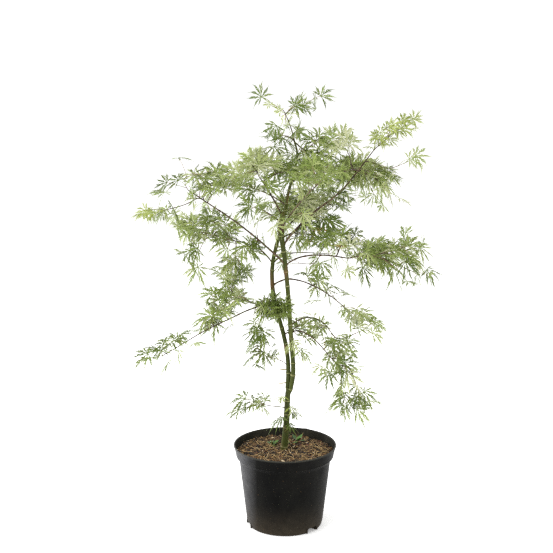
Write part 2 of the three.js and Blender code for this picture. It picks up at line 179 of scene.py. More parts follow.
class Surface:
    """A Principled material and the few node chains that feed it."""

    def __init__(self, name, colour="808080", roughness=0.6, **values):
        self.material = bpy.data.materials.new(name)
        self.material.use_nodes = True
        self.nodes = self.material.node_tree.nodes
        self.links = self.material.node_tree.links
        self.shader = self.nodes["Principled BSDF"]
        self.shader.inputs["Base Color"].default_value = linear(colour)
        self.shader.inputs["Roughness"].default_value = roughness
        for key, value in values.items():
            self.shader.inputs[key.replace("_", " ")].default_value = value

    def node(self, kind, inputs=(), **settings):
        made = self.nodes.new(kind)
        for key, value in settings.items():
            setattr(made, key, value)
        for key, value in dict(inputs).items():
            if isinstance(value, bpy.types.NodeSocket):
                self.links.new(value, made.inputs[key])
            else:
                made.inputs[key].default_value = value
        return made

    def place(self, scale=(1, 1, 1)):
        """Object coordinates, stretched."""
        where = self.node("ShaderNodeTexCoord").outputs["Object"]
        return self.node("ShaderNodeMapping", {"Vector": where, "Scale": scale}).outputs[0]

    def noise(self, scale, stretch=(1, 1, 1), detail=4.0, roughness=0.55):
        inputs = {"Vector": self.place(stretch), "Scale": scale, "Detail": detail, "Roughness": roughness}
        return self.node("ShaderNodeTexNoise", inputs).outputs["Fac"]

    def ramp(self, value, stops, plain=False):
        """A colour ramp from (place, colour code) pairs, or of grey levels if plain."""
        made = self.node("ShaderNodeValToRGB", {"Fac": value})
        band = made.color_ramp
        while len(band.elements) < len(stops):
            band.elements.new(0.5)
        for element, (place, colour) in zip(band.elements, stops):
            element.position = place
            element.color = (colour, colour, colour, 1) if plain else linear(colour)
        return made.outputs["Color"]

    def mix(self, share, a, b):
        made = self.node("ShaderNodeMix", data_type="RGBA")
        for socket, value in ((made.inputs[0], share), (made.inputs[6], a), (made.inputs[7], b)):
            if isinstance(value, bpy.types.NodeSocket):
                self.links.new(value, socket)
            else:
                socket.default_value = linear(value) if isinstance(value, str) else value
        return made.outputs[2]

    def span(self, value, low, high, to_low=0.0, to_high=1.0):
        inputs = {"Value": value, 1: low, 2: high, 3: to_low, 4: to_high}
        return self.node("ShaderNodeMapRange", inputs).outputs[0]

    def axis(self, letter):
        where = self.node("ShaderNodeTexCoord").outputs["Object"]
        return self.node("ShaderNodeSeparateXYZ", {"Vector": where}).outputs[letter]

    def reckon(self, operation, a, b):
        return self.node("ShaderNodeMath", {0: a, 1: b}, operation=operation).outputs[0]

    def feed(self, socket, value):
        self.links.new(value, self.shader.inputs[socket])

    def bump(self, height, strength, distance):
        inputs = {"Height": height, "Strength": strength, "Distance": distance}
        self.feed("Normal", self.node("ShaderNodeBump", inputs).outputs[0])


def bark_surface(name, deep, middle, pale, rust, streak):
    """Bark with long streaks, rusty patches and a fine grain."""
    s = Surface(name, middle, 0.6, Specular_IOR_Level=0.25)
    along = s.noise(streak, (1, 1, 0.12), 5.0, 0.6)
    colour = s.ramp(along, [(0.3, deep), (0.52, middle), (0.72, pale)])
    patches = s.ramp(s.noise(34.0, (1, 1, 0.5), 3.0), [(0.54, 0.0), (0.68, 0.65)], plain=True)
    colour = s.mix(patches, colour, rust)
    s.feed("Base Color", colour)
    grain = s.noise(620.0, (1, 1, 0.25), 4.0, 0.7)
    s.feed("Roughness", s.span(grain, 0.3, 0.7, 0.48, 0.78))
    s.bump(grain, 0.35, 0.0006)
    return s.material


def plain_surface(name, colour, roughness, **values):
    return Surface(name, colour, roughness, **values).material


# ---------------- camera, light and floor

CAMERA_AT = (-0.0233, -3.293, 1.416)
CAMERA_PITCH = 12.19  # degrees below level
CAMERA_LENS, SENSOR = 81.44, 36.0  # millimetres
WORLD_STRENGTH = 1.08
PIXEL_FILTER = 1.35

camera = new_object("camera", bpy.data.cameras.new("camera"))
camera.data.lens = CAMERA_LENS
camera.data.sensor_width = SENSOR
camera.data.clip_end = 60.0
camera.location = CAMERA_AT
camera.rotation_euler = (math.radians(90.0 - CAMERA_PITCH), 0.0, 0.0)
scene.camera = camera
scene.view_settings.view_transform = "Standard"
scene.view_settings.look = "None"
scene.cycles.use_denoising = False  # it would smear the cut leaves
scene.cycles.filter_width = PIXEL_FILTER

world = bpy.data.worlds.new("studio")
world.use_nodes = True
world.node_tree.nodes["Background"].inputs["Color"].default_value = (1.0, 1.0, 1.0, 1.0)
world.node_tree.nodes["Background"].inputs["Strength"].default_value = WORLD_STRENGTH
scene.world = world


def softbox(name, at, aim, size, power):
    light = new_object(name, bpy.data.lights.new(name, "AREA"))
    light.data.shape = "RECTANGLE"
    light.data.size, light.data.size_y = size
    light.data.energy = power
    light.location = at
    light.rotation_euler = (Vector(aim) - Vector(at)).to_track_quat("-Z", "Y").to_euler()


softbox("key", (-1.9, -1.5, 2.9), (0.0, 0.0, 0.7), (2.0, 2.0), 56.0)
softbox("fill", (2.4, -1.6, 1.6), (0.0, 0.0, 0.6), (1.6, 1.6), 14.0)
softbox("side", (-2.6, 1.3, 0.9), (0.0, 0.0, 0.3), (1.2, 1.6), 60.0)
softbox("back", (0.6, 2.4, 2.6), (0.0, 0.0, 0.8), (1.8, 1.4), 22.0)

FLOOR_RADIUS, FLOOR_SIDES = 14.0, 64
floor_mesh = bpy.data.meshes.new("floor")
floor_mesh.from_pydata(circle(FLOOR_RADIUS, FLOOR_SIDES), [], [list(range(FLOOR_SIDES))])
floor_look = Surface("studio_floor", "fbfbfa", 0.9, Emission_Strength=0.16)
floor_grain = floor_look.noise(3.0, detail=2.0)
floor_look.feed("Base Color", floor_look.ramp(floor_grain, [(0.0, "f8f8f7"), (1.0, "fdfdfc")]))
floor_mesh.materials.append(floor_look.material)
floor = new_object("floor", floor_mesh)
floor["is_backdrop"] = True

# ---------------- reading the CAD limbs

SKIN_POINTS = 9000
WALK = 0.006  # step along a limb
SLAB = 0.6  # half thickness of the ring of skin that is averaged, against a step
SKIN_REACH = 0.021  # skin further off belongs to another stretch of the limb
END_REACH, AHEAD_REACH = 0.8, 1.6  # against that: skin for the first centre, and for the first heading
FIRST_SLIDE = 0.012  # the first centre slides back to the limb's end by at most this
FEWEST_SKIN = 8
MOST_STEPS = 400
STALL = 0.4  # a step shorter than this share of a whole one ends the walk
TURN_TO = 1.5  # how strongly the last step steers the next
THICKEST = 1.6  # no part of a bough is thicker than this, against its median
ROOT_SINK = 0.7  # how far into its parent a bough starts, against the parent's radius
SPARSE = 6  # every so many skin points are enough to find a limb's parent
FOOT_SLICE = 0.0005  # the trunk's flat cut is the part of it this close to its lowest point
FOOT_SKIP = 0.022  # and this much above it the walked centreline isn't true yet
FACET_FILL = 1.05  # a facetted limb's skin lies a little inside its true radius


def triangles_of(node):
    """The corners of a CAD node's triangles, as an array (triangle, corner, axis)."""
    mesh = frame["nodes"][node].data
    mesh.calc_loop_triangles()
    points = np.zeros(len(mesh.vertices) * 3)
    mesh.vertices.foreach_get("co", points)
    faces = np.zeros(len(mesh.loop_triangles) * 3, dtype=np.int32)
    mesh.loop_triangles.foreach_get("vertices", faces)
    return points.reshape(-1, 3)[faces.reshape(-1, 3)]


def skin_of(node):
    """Points spread evenly over a CAD node's skin."""
    a, b, c = triangles_of(node).transpose(1, 0, 2)
    area = np.linalg.norm(np.cross(b - a, c - a), axis=1)
    steps = (np.arange(SKIN_POINTS) + 0.5) / SKIN_POINTS * area.sum()
    pick = np.searchsorted(np.cumsum(area), steps).clip(0, len(area) - 1)
    u = (np.arange(SKIN_POINTS) * 0.7548776662) % 1.0
    v = (np.arange(SKIN_POINTS) * 0.5698402910) % 1.0
    over = u + v > 1
    u, v = np.where(over, 1 - u, u)[:, None], np.where(over, 1 - v, v)[:, None]
    return a[pick] + u * (b[pick] - a[pick]) + v * (c[pick] - a[pick])


def walk_skin(skin, end):
    """Centreline and radii of a tube, walked from the skin point at one of its ends."""
    away = np.linalg.norm(skin - end, axis=1)
    centre = skin[away < END_REACH * SKIN_REACH].mean(0)
    heading = unit(skin[(away > SKIN_REACH) & (away < AHEAD_REACH * SKIN_REACH)].mean(0) - centre)
    centre = centre - heading * min(np.dot(centre - end, heading), FIRST_SLIDE)
    points, radii = [], []
    for _ in range(MOST_STEPS):
        offset = skin - centre
        near = (abs(offset @ heading) < SLAB * WALK) & ((offset**2).sum(1) < SKIN_REACH**2)
        if near.sum() < FEWEST_SKIN:
            if points:
                break
            centre = centre + WALK * heading
            continue
        ring = skin[near]
        centre = ring.mean(0)
        if points and np.linalg.norm(centre - points[-1]) < STALL * WALK:
            break
        flat = ring - centre
        flat = flat - np.outer(flat @ heading, heading)
        points.append(centre)
        radii.append(np.linalg.norm(flat, axis=1).mean() * FACET_FILL)
        if len(points) > 1:
            heading = unit(heading + TURN_TO * unit(points[-1] - points[-2]))
        centre = centre + WALK * heading
    return np.array(points), np.array(radii)


def smoothed(values, passes):
    values = np.array(values, float)
    for _ in range(passes):
        values[1:-1] = 0.25 * values[:-2] + 0.5 * values[1:-1] + 0.25 * values[2:]
    return values


limb_nodes = [n for n in frame["nodes"] if slot_of[n] in ("stem_bark", "bough_bark")]
mass_nodes = [n for n in frame["nodes"] if slot_of[n] == "foliage"]
skins = {n: skin_of(n) for n in limb_nodes}
limbs = {}  # name: its path and radii from its foot on, and its parent's name


def read_trunk():
    skin = skins["trunk"]
    top = skin[skin[:, 2].argmax()]
    path, radii = walk_skin(skin, skin[np.linalg.norm(skin - top, axis=1).argmax()])
    if path[0][2] > path[-1][2]:
        path, radii = path[::-1], radii[::-1]
    corners = triangles_of("trunk").reshape(-1, 3)
    cut = corners[corners[:, 2] < corners[:, 2].min() + FOOT_SLICE]
    foot = (cut.max(0) + cut.min(0)) / 2
    above = path[:, 2] > foot[2] + FOOT_SKIP
    path, radii = np.vstack([foot, path[above]]), np.concatenate([[radii[above][0]], radii[above]])
    limbs["trunk"] = {"path": smoothed(path, 4), "radii": smoothed(radii, 4), "parent": None}


def read_limb(name, parent, joint):
    """Walks a stem or bough, given its parent and a spot near where the two join."""
    skin = skins[name]
    path, radii = walk_skin(skin, skin[np.linalg.norm(skin - joint, axis=1).argmax()])
    stem = limbs[parent]["path"]
    to_ends = [np.linalg.norm(stem - path[k], axis=1).min() for k in (0, -1)]
    if to_ends[1] < to_ends[0]:
        path, radii = path[::-1], radii[::-1]
    radii = np.minimum(radii, np.median(radii) * THICKEST)
    path, radii = smoothed(path, 3), smoothed(radii, 4)
    back = path[0] - ROOT_SINK * limbs[parent]["radii"].mean() * unit(path[2] - path[0])
    at = np.linalg.norm(stem - back, axis=1).argmin()
    root = stem[max(at - 1, 0)]
    bridge = [root + (path[0] - root) * t for t in (0.0, 0.55)]
    path = np.vstack([bridge, path])
    radii = np.concatenate([[radii[0]] * 2, radii])
    limbs[name] = {"path": smoothed(path, 2), "radii": radii, "parent": parent}


def closest_pair(names):
    """The limb among names that comes closest to one already read: gap, name, parent, joint."""
    found = []
    for name in names:
        skin = skins[name][::SPARSE]
        for parent, limb in limbs.items():
            if parent == "trunk" and not name.startswith("lowest"):
                continue
            away = np.linalg.norm(skin[:, None] - limb["path"][None], axis=2) - limb["radii"][None]
            found.append((away.min(), name, parent, skin[away.min(1).argmin()]))
    return min(found, key=lambda pair: pair[0])


read_trunk()
for stem_name in ("left_stem", "right_stem"):
    read_limb(stem_name, "trunk", limbs["trunk"]["path"][-1])
waiting = [n for n in limb_nodes if n not in limbs]
while waiting:
    _, name, parent, joint = closest_pair(waiting)
    read_limb(name, parent, joint)
    waiting.remove(name)


# ---------------- the cut leaves

LEAF_KINDS = 16
LOBE_ANGLES = (0, 30, 62, 98, 142)  # degrees from the middle lobe, to each side
LOBE_LENGTHS = (1.0, 0.97, 0.88, 0.7, 0.4)
LOBE_ROWS = (0.0, 0.2, 0.36, 0.54, 0.74)  # places along a lobe, from its foot to its tip at 1
LOBE_HALF_WIDTHS = (0.012, 0.02, 0.028, 0.025, 0.014)  # there, against the leaf's length
FIRST_TOOTH, TOOTH_STEP = 0.18, 0.14  # places along a lobe
TOOTH_LENGTHS = (0.27, 0.33, 0.26, 0.16)
TOOTH_ANGLES = (22, 21, 19, 18)
TOOTH_HALF_WIDTH = 0.06  # against its own length
LOBE_PAINTED_LIGHT = (-1, 0, 0, 1)  # painted light and shade: how many tints a lobe is paler than its leaf, standing in for the lobes' different angles to the light
FOLD = 0.12  # how far the edges rise above the midrib, against the width
SHORT_LOBE = 0.7  # a lobe shorter than this has no teeth in the last place
FOOT_LOBE_MISSING = 0.4  # chance that a lobe next to the stalk isn't there


def leaf_kind(rng):
    """One leaf in its own plane, x along its middle lobe: corners, triangles, the lobes' tips as indices
    of corners, and how many tints paler each triangle is painted, as light and shade on its lobe."""
    corners, faces, tips, shades = [], [], [], []

    def corner(place, rise):
        corners.append((place.real, place.imag, rise))
        return len(corners) - 1

    def lobe(turn, length, curl, lift, roll):
        def centre(t):
            return length * t * np.exp(1j * (turn + curl * t * t))

        def rise(t, sideways=0.0):
            return length * lift * t * t + roll * sideways

        rows = []
        for t, half in zip(LOBE_ROWS, LOBE_HALF_WIDTHS):
            here = centre(t)
            across = 1j * unit_complex(centre(t + 0.05) - here)
            half *= 0.5 + 0.5 * length
            rows.append([])
            for k in (1, 0, -1):
                rows[-1].append(corner(here + k * half * across, rise(t, k * half) + FOLD * half * abs(k)))
        tips.append(corner(centre(1.0), rise(1.0)))
        for a, b in zip(rows, rows[1:]):
            faces.extend([(a[0], a[1], b[1]), (a[0], b[1], b[0]), (a[1], a[2], b[2]), (a[1], b[2], b[1])])
        faces.extend([(rows[-1][0], rows[-1][1], tips[-1]), (rows[-1][1], rows[-1][2], tips[-1])])
        for j, (share, angle) in enumerate(zip(TOOTH_LENGTHS, TOOTH_ANGLES)):
            if length < SHORT_LOBE and j == len(TOOTH_LENGTHS) - 1:
                continue
            for side in (1, -1):
                t = FIRST_TOOTH + TOOTH_STEP * (j + 0.22 * side + rng.uniform(-0.2, 0.2))
                here = centre(t)
                along = unit_complex(centre(t + 0.03) - here)
                aim = along * np.exp(1j * side * math.radians(angle + rng.uniform(-6, 6)))
                reach = share * length * rng.uniform(0.8, 1.15)
                half = TOOTH_HALF_WIDTH * reach + 0.003
                bend = np.exp(-0.12j * side)
                middle = here + aim * 0.48 * reach
                tilt = rng.uniform(-0.12, 0.12)
                foot = corner(here, rise(t))
                outer, inner, tip = (
                    corner(p, rise(t, k) + tilt * m * reach)
                    for p, k, m in (
                        (middle + 1j * aim * side * half, side * 0.3 * reach, 0.5),
                        (middle - 1j * aim * side * half, side * 0.2 * reach, 0.5),
                        (here + aim * bend * reach, side * 0.5 * reach, 1.0),
                    )
                )
                tooth = [(foot, tip, outer), (foot, inner, tip)]
                faces.extend(tooth if side > 0 else [(a, c, b) for a, b, c in tooth])

    for k, (angle, length) in enumerate(zip(LOBE_ANGLES, LOBE_LENGTHS)):
        for side in (1, -1) if k else (1,):
            if k == len(LOBE_ANGLES) - 1 and rng.random() < FOOT_LOBE_MISSING:
                continue
            turn = math.radians(side * angle + rng.uniform(-8, 8))
            curl = rng.uniform(-0.22, 0.22) + 0.1 * side * (k > 0)
            reach = length * rng.uniform(0.84, 1.1)
            lift, roll = rng.uniform(-0.16, 0.14), rng.uniform(-0.45, 0.45)
            lobe(turn, reach, curl, lift, roll)
            # painted light and shade: each lobe is drawn paler or deeper than its leaf, for its angle to the
            # light
            shades += [int(rng.choice(LOBE_PAINTED_LIGHT))] * (len(faces) - len(shades))
    return np.array(corners), np.array(faces), np.array(tips), np.array(shades)


def unit_complex(z):
    return z / abs(z)


kind_rng = np.random.default_rng(41)
leaf_kinds = [leaf_kind(kind_rng) for _ in range(LEAF_KINDS)]


def leaf_points(local, size, at, ahead, face, sag):
    """A leaf's corners in place: its middle lobe runs ahead, its upper side looks along face."""
    ahead = unit(ahead)
    face = unit(face - np.dot(face, ahead) * ahead)
    across = np.cross(face, ahead)
    out = np.hypot(local[:, 0], local[:, 1])
    placed = at + size * local @ np.array([ahead, across, face])
    placed[:, 2] -= size * sag * out**2
    return placed


# ---------------- twigs: the branching rule

TWIG_STEP = 0.008
STALK = (0.030, 0.052)  # least and most length of a leaf stalk
LEAF_VOLUME = 2.0e-5  # cubic metres of foliage to a leaf
EDGE_DEPTH = 0.005  # a leaf's middle stays this far inside its mass
INERTIA, WANDER, HANG = 0.5, 0.28, 0.05  # how much a twig keeps its heading, strays and hangs
TWIG_INERTIA = 0.15  # how much it keeps of a limb's heading where it leaves the limb
WANDER_SHARE = 0.6  # of the wander, so much counts
LIMB_PENALTY = 0.06  # a twig is sought this much further off before a limb sprouts another
TURN_PENALTY = 0.03  # and this much further off where it would have to turn back
GROW_ROUNDS = 90
CLOSEST_STEP = 0.35  # a new point nearer to an old one than this share of a step isn't kept
NEAR_MARGIN, NEAR = 0.03, 1.5  # wood this near to a mass, against its half size and a margin, may grow
OUT_OF_REACH = 9.0
LEAF_SIZE = 0.068
LEAFINESS = {  # leaves in a mass against the usual number for its size, by how much sky shows through
    0.05: "top_left",
    0.25: "front_left rear_left outer_left right_spray inner_lower_right",
    0.45: "lowest_right drooping_left far_right upper_right crown_top middle_right lower_left_tip "
    "lower_right rear_right front_right crown_middle",
    0.6: "top_right upper_left low_left lower_left drooping_right level_right under_right middle_left",
    0.75: "inner_left under_left far_left low_right left_shoulder",
    0.9: "inner_crown lowest_left upper_right_tip right_shoulder outer_right",
    2.2: "stem",
}
FRESH = {  # the share of a mass's sprays that are young
    1.0: "top_left",
    0.9: "far_left",
    0.7: "upper_right_tip",
    0.4: "right_spray",
    0.35: "top_right",
}


def inside(points, triangles):
    """True for each point within closed triangles, by the solid angle that they fill."""
    a, b, c = (triangles[None, :, k] - points[:, None] for k in range(3))
    la, lb, lc = (np.linalg.norm(v, axis=2) for v in (a, b, c))
    top = (a * np.cross(b, c)).sum(2)
    low = la * lb * lc + (a * b).sum(2) * lc + (b * c).sum(2) * la + (c * a).sum(2) * lb
    return abs(np.arctan2(top, low).sum(1)) > math.pi


def outward_by(points, centre, distance):
    away = points - centre
    return points + away / np.linalg.norm(away, axis=1, keepdims=True).clip(1e-6) * distance


class Mass:
    """One CAD mass of foliage, which leaves on twigs replace."""

    def __init__(self, name):
        self.name = name
        self.short = name.removesuffix("_foliage")
        self.triangles = triangles_of(name)
        a, b, c = self.triangles.transpose(1, 0, 2)
        cells = (a * np.cross(b, c)).sum(1) / 6
        self.volume = abs(cells.sum())
        self.centre = (cells[:, None] * (a + b + c) / 4).sum(0) / cells.sum()
        self.half = (self.triangles.max((0, 1)) - self.triangles.min((0, 1))) / 2
        self.fresh = level_of(self.short, FRESH, 0.0)

    def close_to(self, spot):
        return (abs(spot - self.centre) < self.half + 0.02).all()

    def spots(self, rng):
        """Where the leaves' middles go: spread out evenly inside."""
        count = max(3, round(self.volume * level_of(self.short, LEAFINESS, 1.0) / LEAF_VOLUME))
        low, high = self.triangles.min((0, 1)), self.triangles.max((0, 1))
        pool = rng.uniform(low, high, (count * 60, 3))
        deep = inside(outward_by(pool, self.centre, EDGE_DEPTH), self.triangles)
        pool = pool[deep & inside(pool, self.triangles)]
        chosen = [pool[0]]
        while len(chosen) < count:
            tries = pool[rng.integers(0, len(pool), 10)]
            gaps = np.linalg.norm(tries[:, None] - np.array(chosen)[None], axis=2).min(1)
            chosen.append(tries[gaps.argmax()])
        return np.array(chosen)


class Wood:
    """The skeleton that grows: points, what each grew from, which may bear leaves, and the radius of
    the limb at those that lie on one."""

    def __init__(self):
        self.at, self.parent, self.bears, self.heading, self.radius = [], [], [], [], []

    def add(self, at, parent, bears, radius=0.0):
        self.heading.append(unit(at - self.at[parent]) if parent >= 0 else UP)
        self.at.append(at)
        self.parent.append(parent)
        self.bears.append(bears)
        self.radius.append(radius)
        return len(self.at) - 1


wood = Wood()
for name, limb in limbs.items():
    if name == "trunk":
        continue
    last = -1
    thin = len(limb["path"]) * (0.97 if name.endswith("stem") else 0.8)
    for k, (point, radius) in enumerate(zip(limb["path"], limb["radii"])):
        last = wood.add(point, last if k else -1, k > thin, radius)
limb_points = len(wood.at)
leaves = []  # (wood point, place of the leaf's middle, mass)


def grow(mass, rng):
    """Twigs grow step by step towards the leaves that still wait, and each leaf takes a stalk from
    the first twig that comes within reach."""
    spots = mass.spots(rng)
    reach = rng.uniform(*STALK, len(spots))
    waiting = np.ones(len(spots), bool)
    at = np.array(wood.at)
    near = np.flatnonzero(np.linalg.norm((at - mass.centre) / (mass.half + NEAR_MARGIN), axis=1) < NEAR)
    if not len(near):
        near = np.array([np.linalg.norm(at - mass.centre, axis=1).argmin()])
    pool = list(near)
    for _ in range(GROW_ROUNDS):
        if not waiting.any():
            break
        at = np.array([wood.at[i] for i in pool])
        bears = np.array([wood.bears[i] for i in pool])
        away = np.linalg.norm(spots[waiting][:, None] - at[None], axis=2)
        open_ids = np.flatnonzero(waiting)
        close = np.where(bears[None], away, OUT_OF_REACH)
        best = close.argmin(1)
        for row, spot in enumerate(open_ids):
            if close[row, best[row]] < reach[spot]:
                waiting[spot] = False
                leaves.append((pool[best[row]], spots[spot], mass))
        still = waiting[open_ids]
        if not still.any():
            break
        headings = np.array([wood.heading[i] for i in pool])
        straight = ((spots[open_ids][:, None] - at[None]) * headings[None]).sum(2) / away
        cost = (away + np.where(bears, 0.0, LIMB_PENALTY)[None] + TURN_PENALTY * (1 - straight))[still]
        pulls = {}
        for spot, source in zip(open_ids[still], cost.argmin(1)):
            pulls.setdefault(source, []).append(unit(spots[spot] - at[source]))
        sprouted = False
        for source, pull in pulls.items():
            if source < len(near) and not bears[source] and sprouted:
                continue
            sprouted = sprouted or not bears[source]
            index = pool[source]
            keep = INERTIA if bears[source] else TWIG_INERTIA
            wander = rng.normal(0, WANDER, 3) * WANDER_SHARE
            heading = unit(np.mean(pull, 0) + keep * wood.heading[index] + wander - HANG * UP)
            new = at[source] + TWIG_STEP * heading
            if np.linalg.norm(at - new, axis=1).min() > CLOSEST_STEP * TWIG_STEP:
                pool.append(wood.add(new, index, True))


LOOSE_STEP = 0.036
LOOSE_LOWEST = 0.48
LOOSE_RISE, LOOSE_ON = (-0.01, 0.02), 0.015  # how far a loose leaf stands up, and on along its limb
STRAYS = (  # single leaves next to a mass: how far from its middle, against half its size
    ("upper_right_tip", (0.75, 0.0, -1.3)),
    ("upper_right_tip", (1.0, 0.2, -1.15)),
    ("level_right", (-0.7, -0.2, -1.25)),
    ("level_right", (-0.2, 0.1, -1.5)),
    ("far_left", (1.2, 0.0, 0.4)),
    ("drooping_left", (0.3, 0.1, -1.25)),
    ("inner_left", (0.9, 0.2, 0.9)),
    ("lower_left_tip", (1.3, 0.0, 0.2)),
    ("top_left", (-0.6, 0.0, 0.7)),
    ("top_right", (1.0, 0.0, 0.8)),
)
STEM_SHARE, BOUGH_SHARE = 0.12, 0.45
LOOSE_REACH = (0.03, 0.055)


class Loose:
    """Leaves that belong to no mass: in pairs along the boughs and stems, and strays next to a mass."""

    def __init__(self, rng, masses):
        self.name = self.short = "loose"
        self.triangles, self.fresh = None, 0.0
        self.centre, self.half = np.array([0.0, 0.0, 0.7]), np.array([1.0, 1.0, 1.0])
        self.places = []
        for name, limb in limbs.items():
            path = limb["path"]
            at = rng.uniform(0.3, 1.0) * LOOSE_STEP
            for here, there in zip(path, path[1:]):
                at -= np.linalg.norm(there - here)
                if at > 0 or here[2] < LOOSE_LOWEST:
                    continue
                at += LOOSE_STEP
                if rng.random() > (STEM_SHARE if name.endswith("stem") else BOUGH_SHARE):
                    continue
                along = unit(there - here)
                side = unit(np.cross(along, rng.normal(0, 1, 3) + UP))
                if name.endswith("stem"):
                    side = unit(side * (1, 0.3, 1))  # so that no leaf hides the stems from the front
                for sign in (1, -1):
                    out = sign * side * rng.uniform(*LOOSE_REACH)
                    spot = here + out + UP * rng.uniform(*LOOSE_RISE) + along * LOOSE_ON
                    if not any(inside(spot[None], m.triangles)[0] for m in masses if m.close_to(spot)):
                        self.places.append(spot)
        for name, away in STRAYS:
            mass = next(m for m in masses if m.short == name)
            self.places.append(mass.centre + mass.half * away)

    def spots(self, rng):
        return np.array(self.places)


rng = np.random.default_rng(2026)
masses = [Mass(name) for name in mass_nodes]
left = list(masses)
while left:
    at = np.array(wood.at)
    mass = min(left, key=lambda m: np.linalg.norm((at - m.centre) / m.half, axis=1).min())
    grow(mass, np.random.default_rng([2026, mass_nodes.index(mass.name)]))
    left.remove(mass)
loose = Loose(rng, masses)
grow(loose, rng)


# ---------------- tubes

END_CAP = 0.5  # how far a tube's ends stand out, against its radius


def tube(path, radii, sides, relief=None):
    """A closed tube along a path, with radii that relief may vary by (step along, angle): its corners,
    its triangles, and the step along that each triangle belongs to."""
    path = np.asarray(path, float)
    radii = np.asarray(radii, float)
    forward = np.gradient(path, axis=0)
    forward /= np.linalg.norm(forward, axis=1, keepdims=True).clip(1e-9)
    side = unit(np.cross(forward[0], UP if abs(forward[0][2]) < 0.9 else np.array([0.0, 1.0, 0.0])))
    sideways = []
    for ahead in forward:
        side = unit(side - np.dot(side, ahead) * ahead)
        sideways.append(side)
    sideways = np.array(sideways)
    third = np.cross(forward, sideways)
    cosines, sines = (way(turns(sides))[None, :, None] for way in (np.cos, np.sin))
    ring = sideways[:, None] * cosines + third[:, None] * sines
    spread = radii[:, None] * (relief if relief is not None else np.ones((len(path), sides)))
    points = path[:, None] + ring * spread[..., None]
    rows = len(path)
    first, last = rows * sides, rows * sides + 1
    ends = [path[0] - forward[0] * radii[0] * END_CAP, path[-1] + forward[-1] * radii[-1] * END_CAP]
    i, j = np.meshgrid(np.arange(rows - 1), np.arange(sides), indexing="ij")
    a, b = i * sides + j, i * sides + (j + 1) % sides
    c, d = a + sides, b + sides
    skin = np.concatenate([np.stack([a, b, d], -1).reshape(-1, 3), np.stack([a, d, c], -1).reshape(-1, 3)])
    j = np.arange(sides)
    k = (j + 1) % sides
    foot = np.stack([k, j, np.full(sides, first)], -1)
    top = (rows - 1) * sides
    tip = np.stack([top + j, top + k, np.full(sides, last)], -1)
    rings = np.concatenate([i.ravel(), i.ravel(), np.zeros(sides, int), np.full(sides, rows - 1)])
    return np.vstack([points.reshape(-1, 3), ends]), np.vstack([skin, foot, tip]), rings


def resampled(path, radii, step):
    """The same path and radii, at even steps."""
    lengths = np.concatenate([[0.0], np.cumsum(np.linalg.norm(np.diff(path, axis=0), axis=1))])
    places = np.linspace(0, lengths[-1], max(4, round(lengths[-1] / step) + 1))
    fine = np.stack([np.interp(places, lengths, path[:, k]) for k in range(3)], -1)
    return smoothed(fine, 3), np.interp(places, lengths, radii), places


# ---------------- bark with relief

STEM_SLIM = {"trunk": 1.0, "left_stem": 1.16, "right_stem": 1.26}
THINNEST_BOUGH = 0.0010
BOUGH_SLIM = 0.78
STEM_LOOK = dict(step=0.0024, sides=20, nodes=(0.034, 0.07), swell=0.1, bud=0.1, ridge=0.035, collar=0.32)
BOUGH_LOOK = dict(step=0.0032, sides=10, nodes=(0.017, 0.034), swell=0.2, bud=0.34, ridge=0.05, collar=0.9)
NODE_HALF = 0.0030  # half length of the swelling at a node
LIP_AT, LIP_HALF, LIP_SWELL = 0.0016, 0.0011, 0.04  # the thin lip next to it
BUD_AT, BUD_HALF, BUD_ANGLE = 0.002, 0.0024, 0.42
SCAR_HALF = 0.0013
FLARE_HEIGHT, FLARE = 0.008, 0.1
FOOT_ROWS, FOOT_ROW = 3, 0.003  # the trunk's foot goes on down under the loose chips, in so many rows
FORK_ROUND = 0.006  # length over which the trunk's top rounds off in the fork
KNOT_ON, KNOT_HEIGHT, KNOT_LENGTH, KNOT_SWELL = "right_stem", 0.838, 0.014, 0.4  # an old swollen scar
stem_bark = bark_surface("stem_bark", "1f2407", "434b17", "727340", "6c4c30", 32.0)
stem_scar = bark_surface("stem_scar", "4c4f2a", "7b7b50", "a09c74", "7a5a44", 60.0)
bough_bark = bark_surface("bough_bark", "21160e", "453424", "736149", "565a2c", 60.0)
bough_scar = bark_surface("bough_scar", "2c1f14", "5a4833", "827159", "553f28", 80.0)


def bark_relief(places, look, seed, foot):
    """How far each corner of a limb's skin stands out, and which rings are pale scars."""
    draw = np.random.default_rng(seed)
    angles = turns(look["sides"])
    relief = np.ones((len(places), look["sides"]))
    scars = np.zeros(len(places), int)
    at = places[0] + look["nodes"][0] * 0.5
    turn = draw.uniform(0, math.pi)
    while at < places[-1] - 0.004:
        up = places - at
        swell = look["swell"] * hump(up, NODE_HALF) + LIP_SWELL * hump(up - LIP_AT, LIP_HALF)
        relief += swell[:, None]
        for half in (0, math.pi):
            off = np.angle(np.exp(1j * (angles - turn - half)))
            relief += look["bud"] * (hump(up - BUD_AT, BUD_HALF)[:, None] * hump(off, BUD_ANGLE)[None])
        scars[abs(up) < SCAR_HALF] = 1
        turn += math.pi / 2 + draw.normal(0, 0.2)
        at += draw.uniform(*look["nodes"])
    for i, place in enumerate(places):
        for j, angle in enumerate(angles):
            x, y = math.cos(angle), math.sin(angle)
            relief[i, j] += look["ridge"] * wobble(2.6 * x + seed, 2.6 * y, place * 34)
            relief[i, j] += look["ridge"] * 0.5 * wobble(6 * x, 6 * y + seed, place * 150)
    if foot:
        rise = (places - places[0]).clip(0)
        lobes = 1 + 0.55 * np.cos(3 * angles + 0.7) + 0.3 * np.cos(5 * angles)
        relief += FLARE * np.exp(-rise / FLARE_HEIGHT)[:, None] * lobes[None]
    return relief, scars


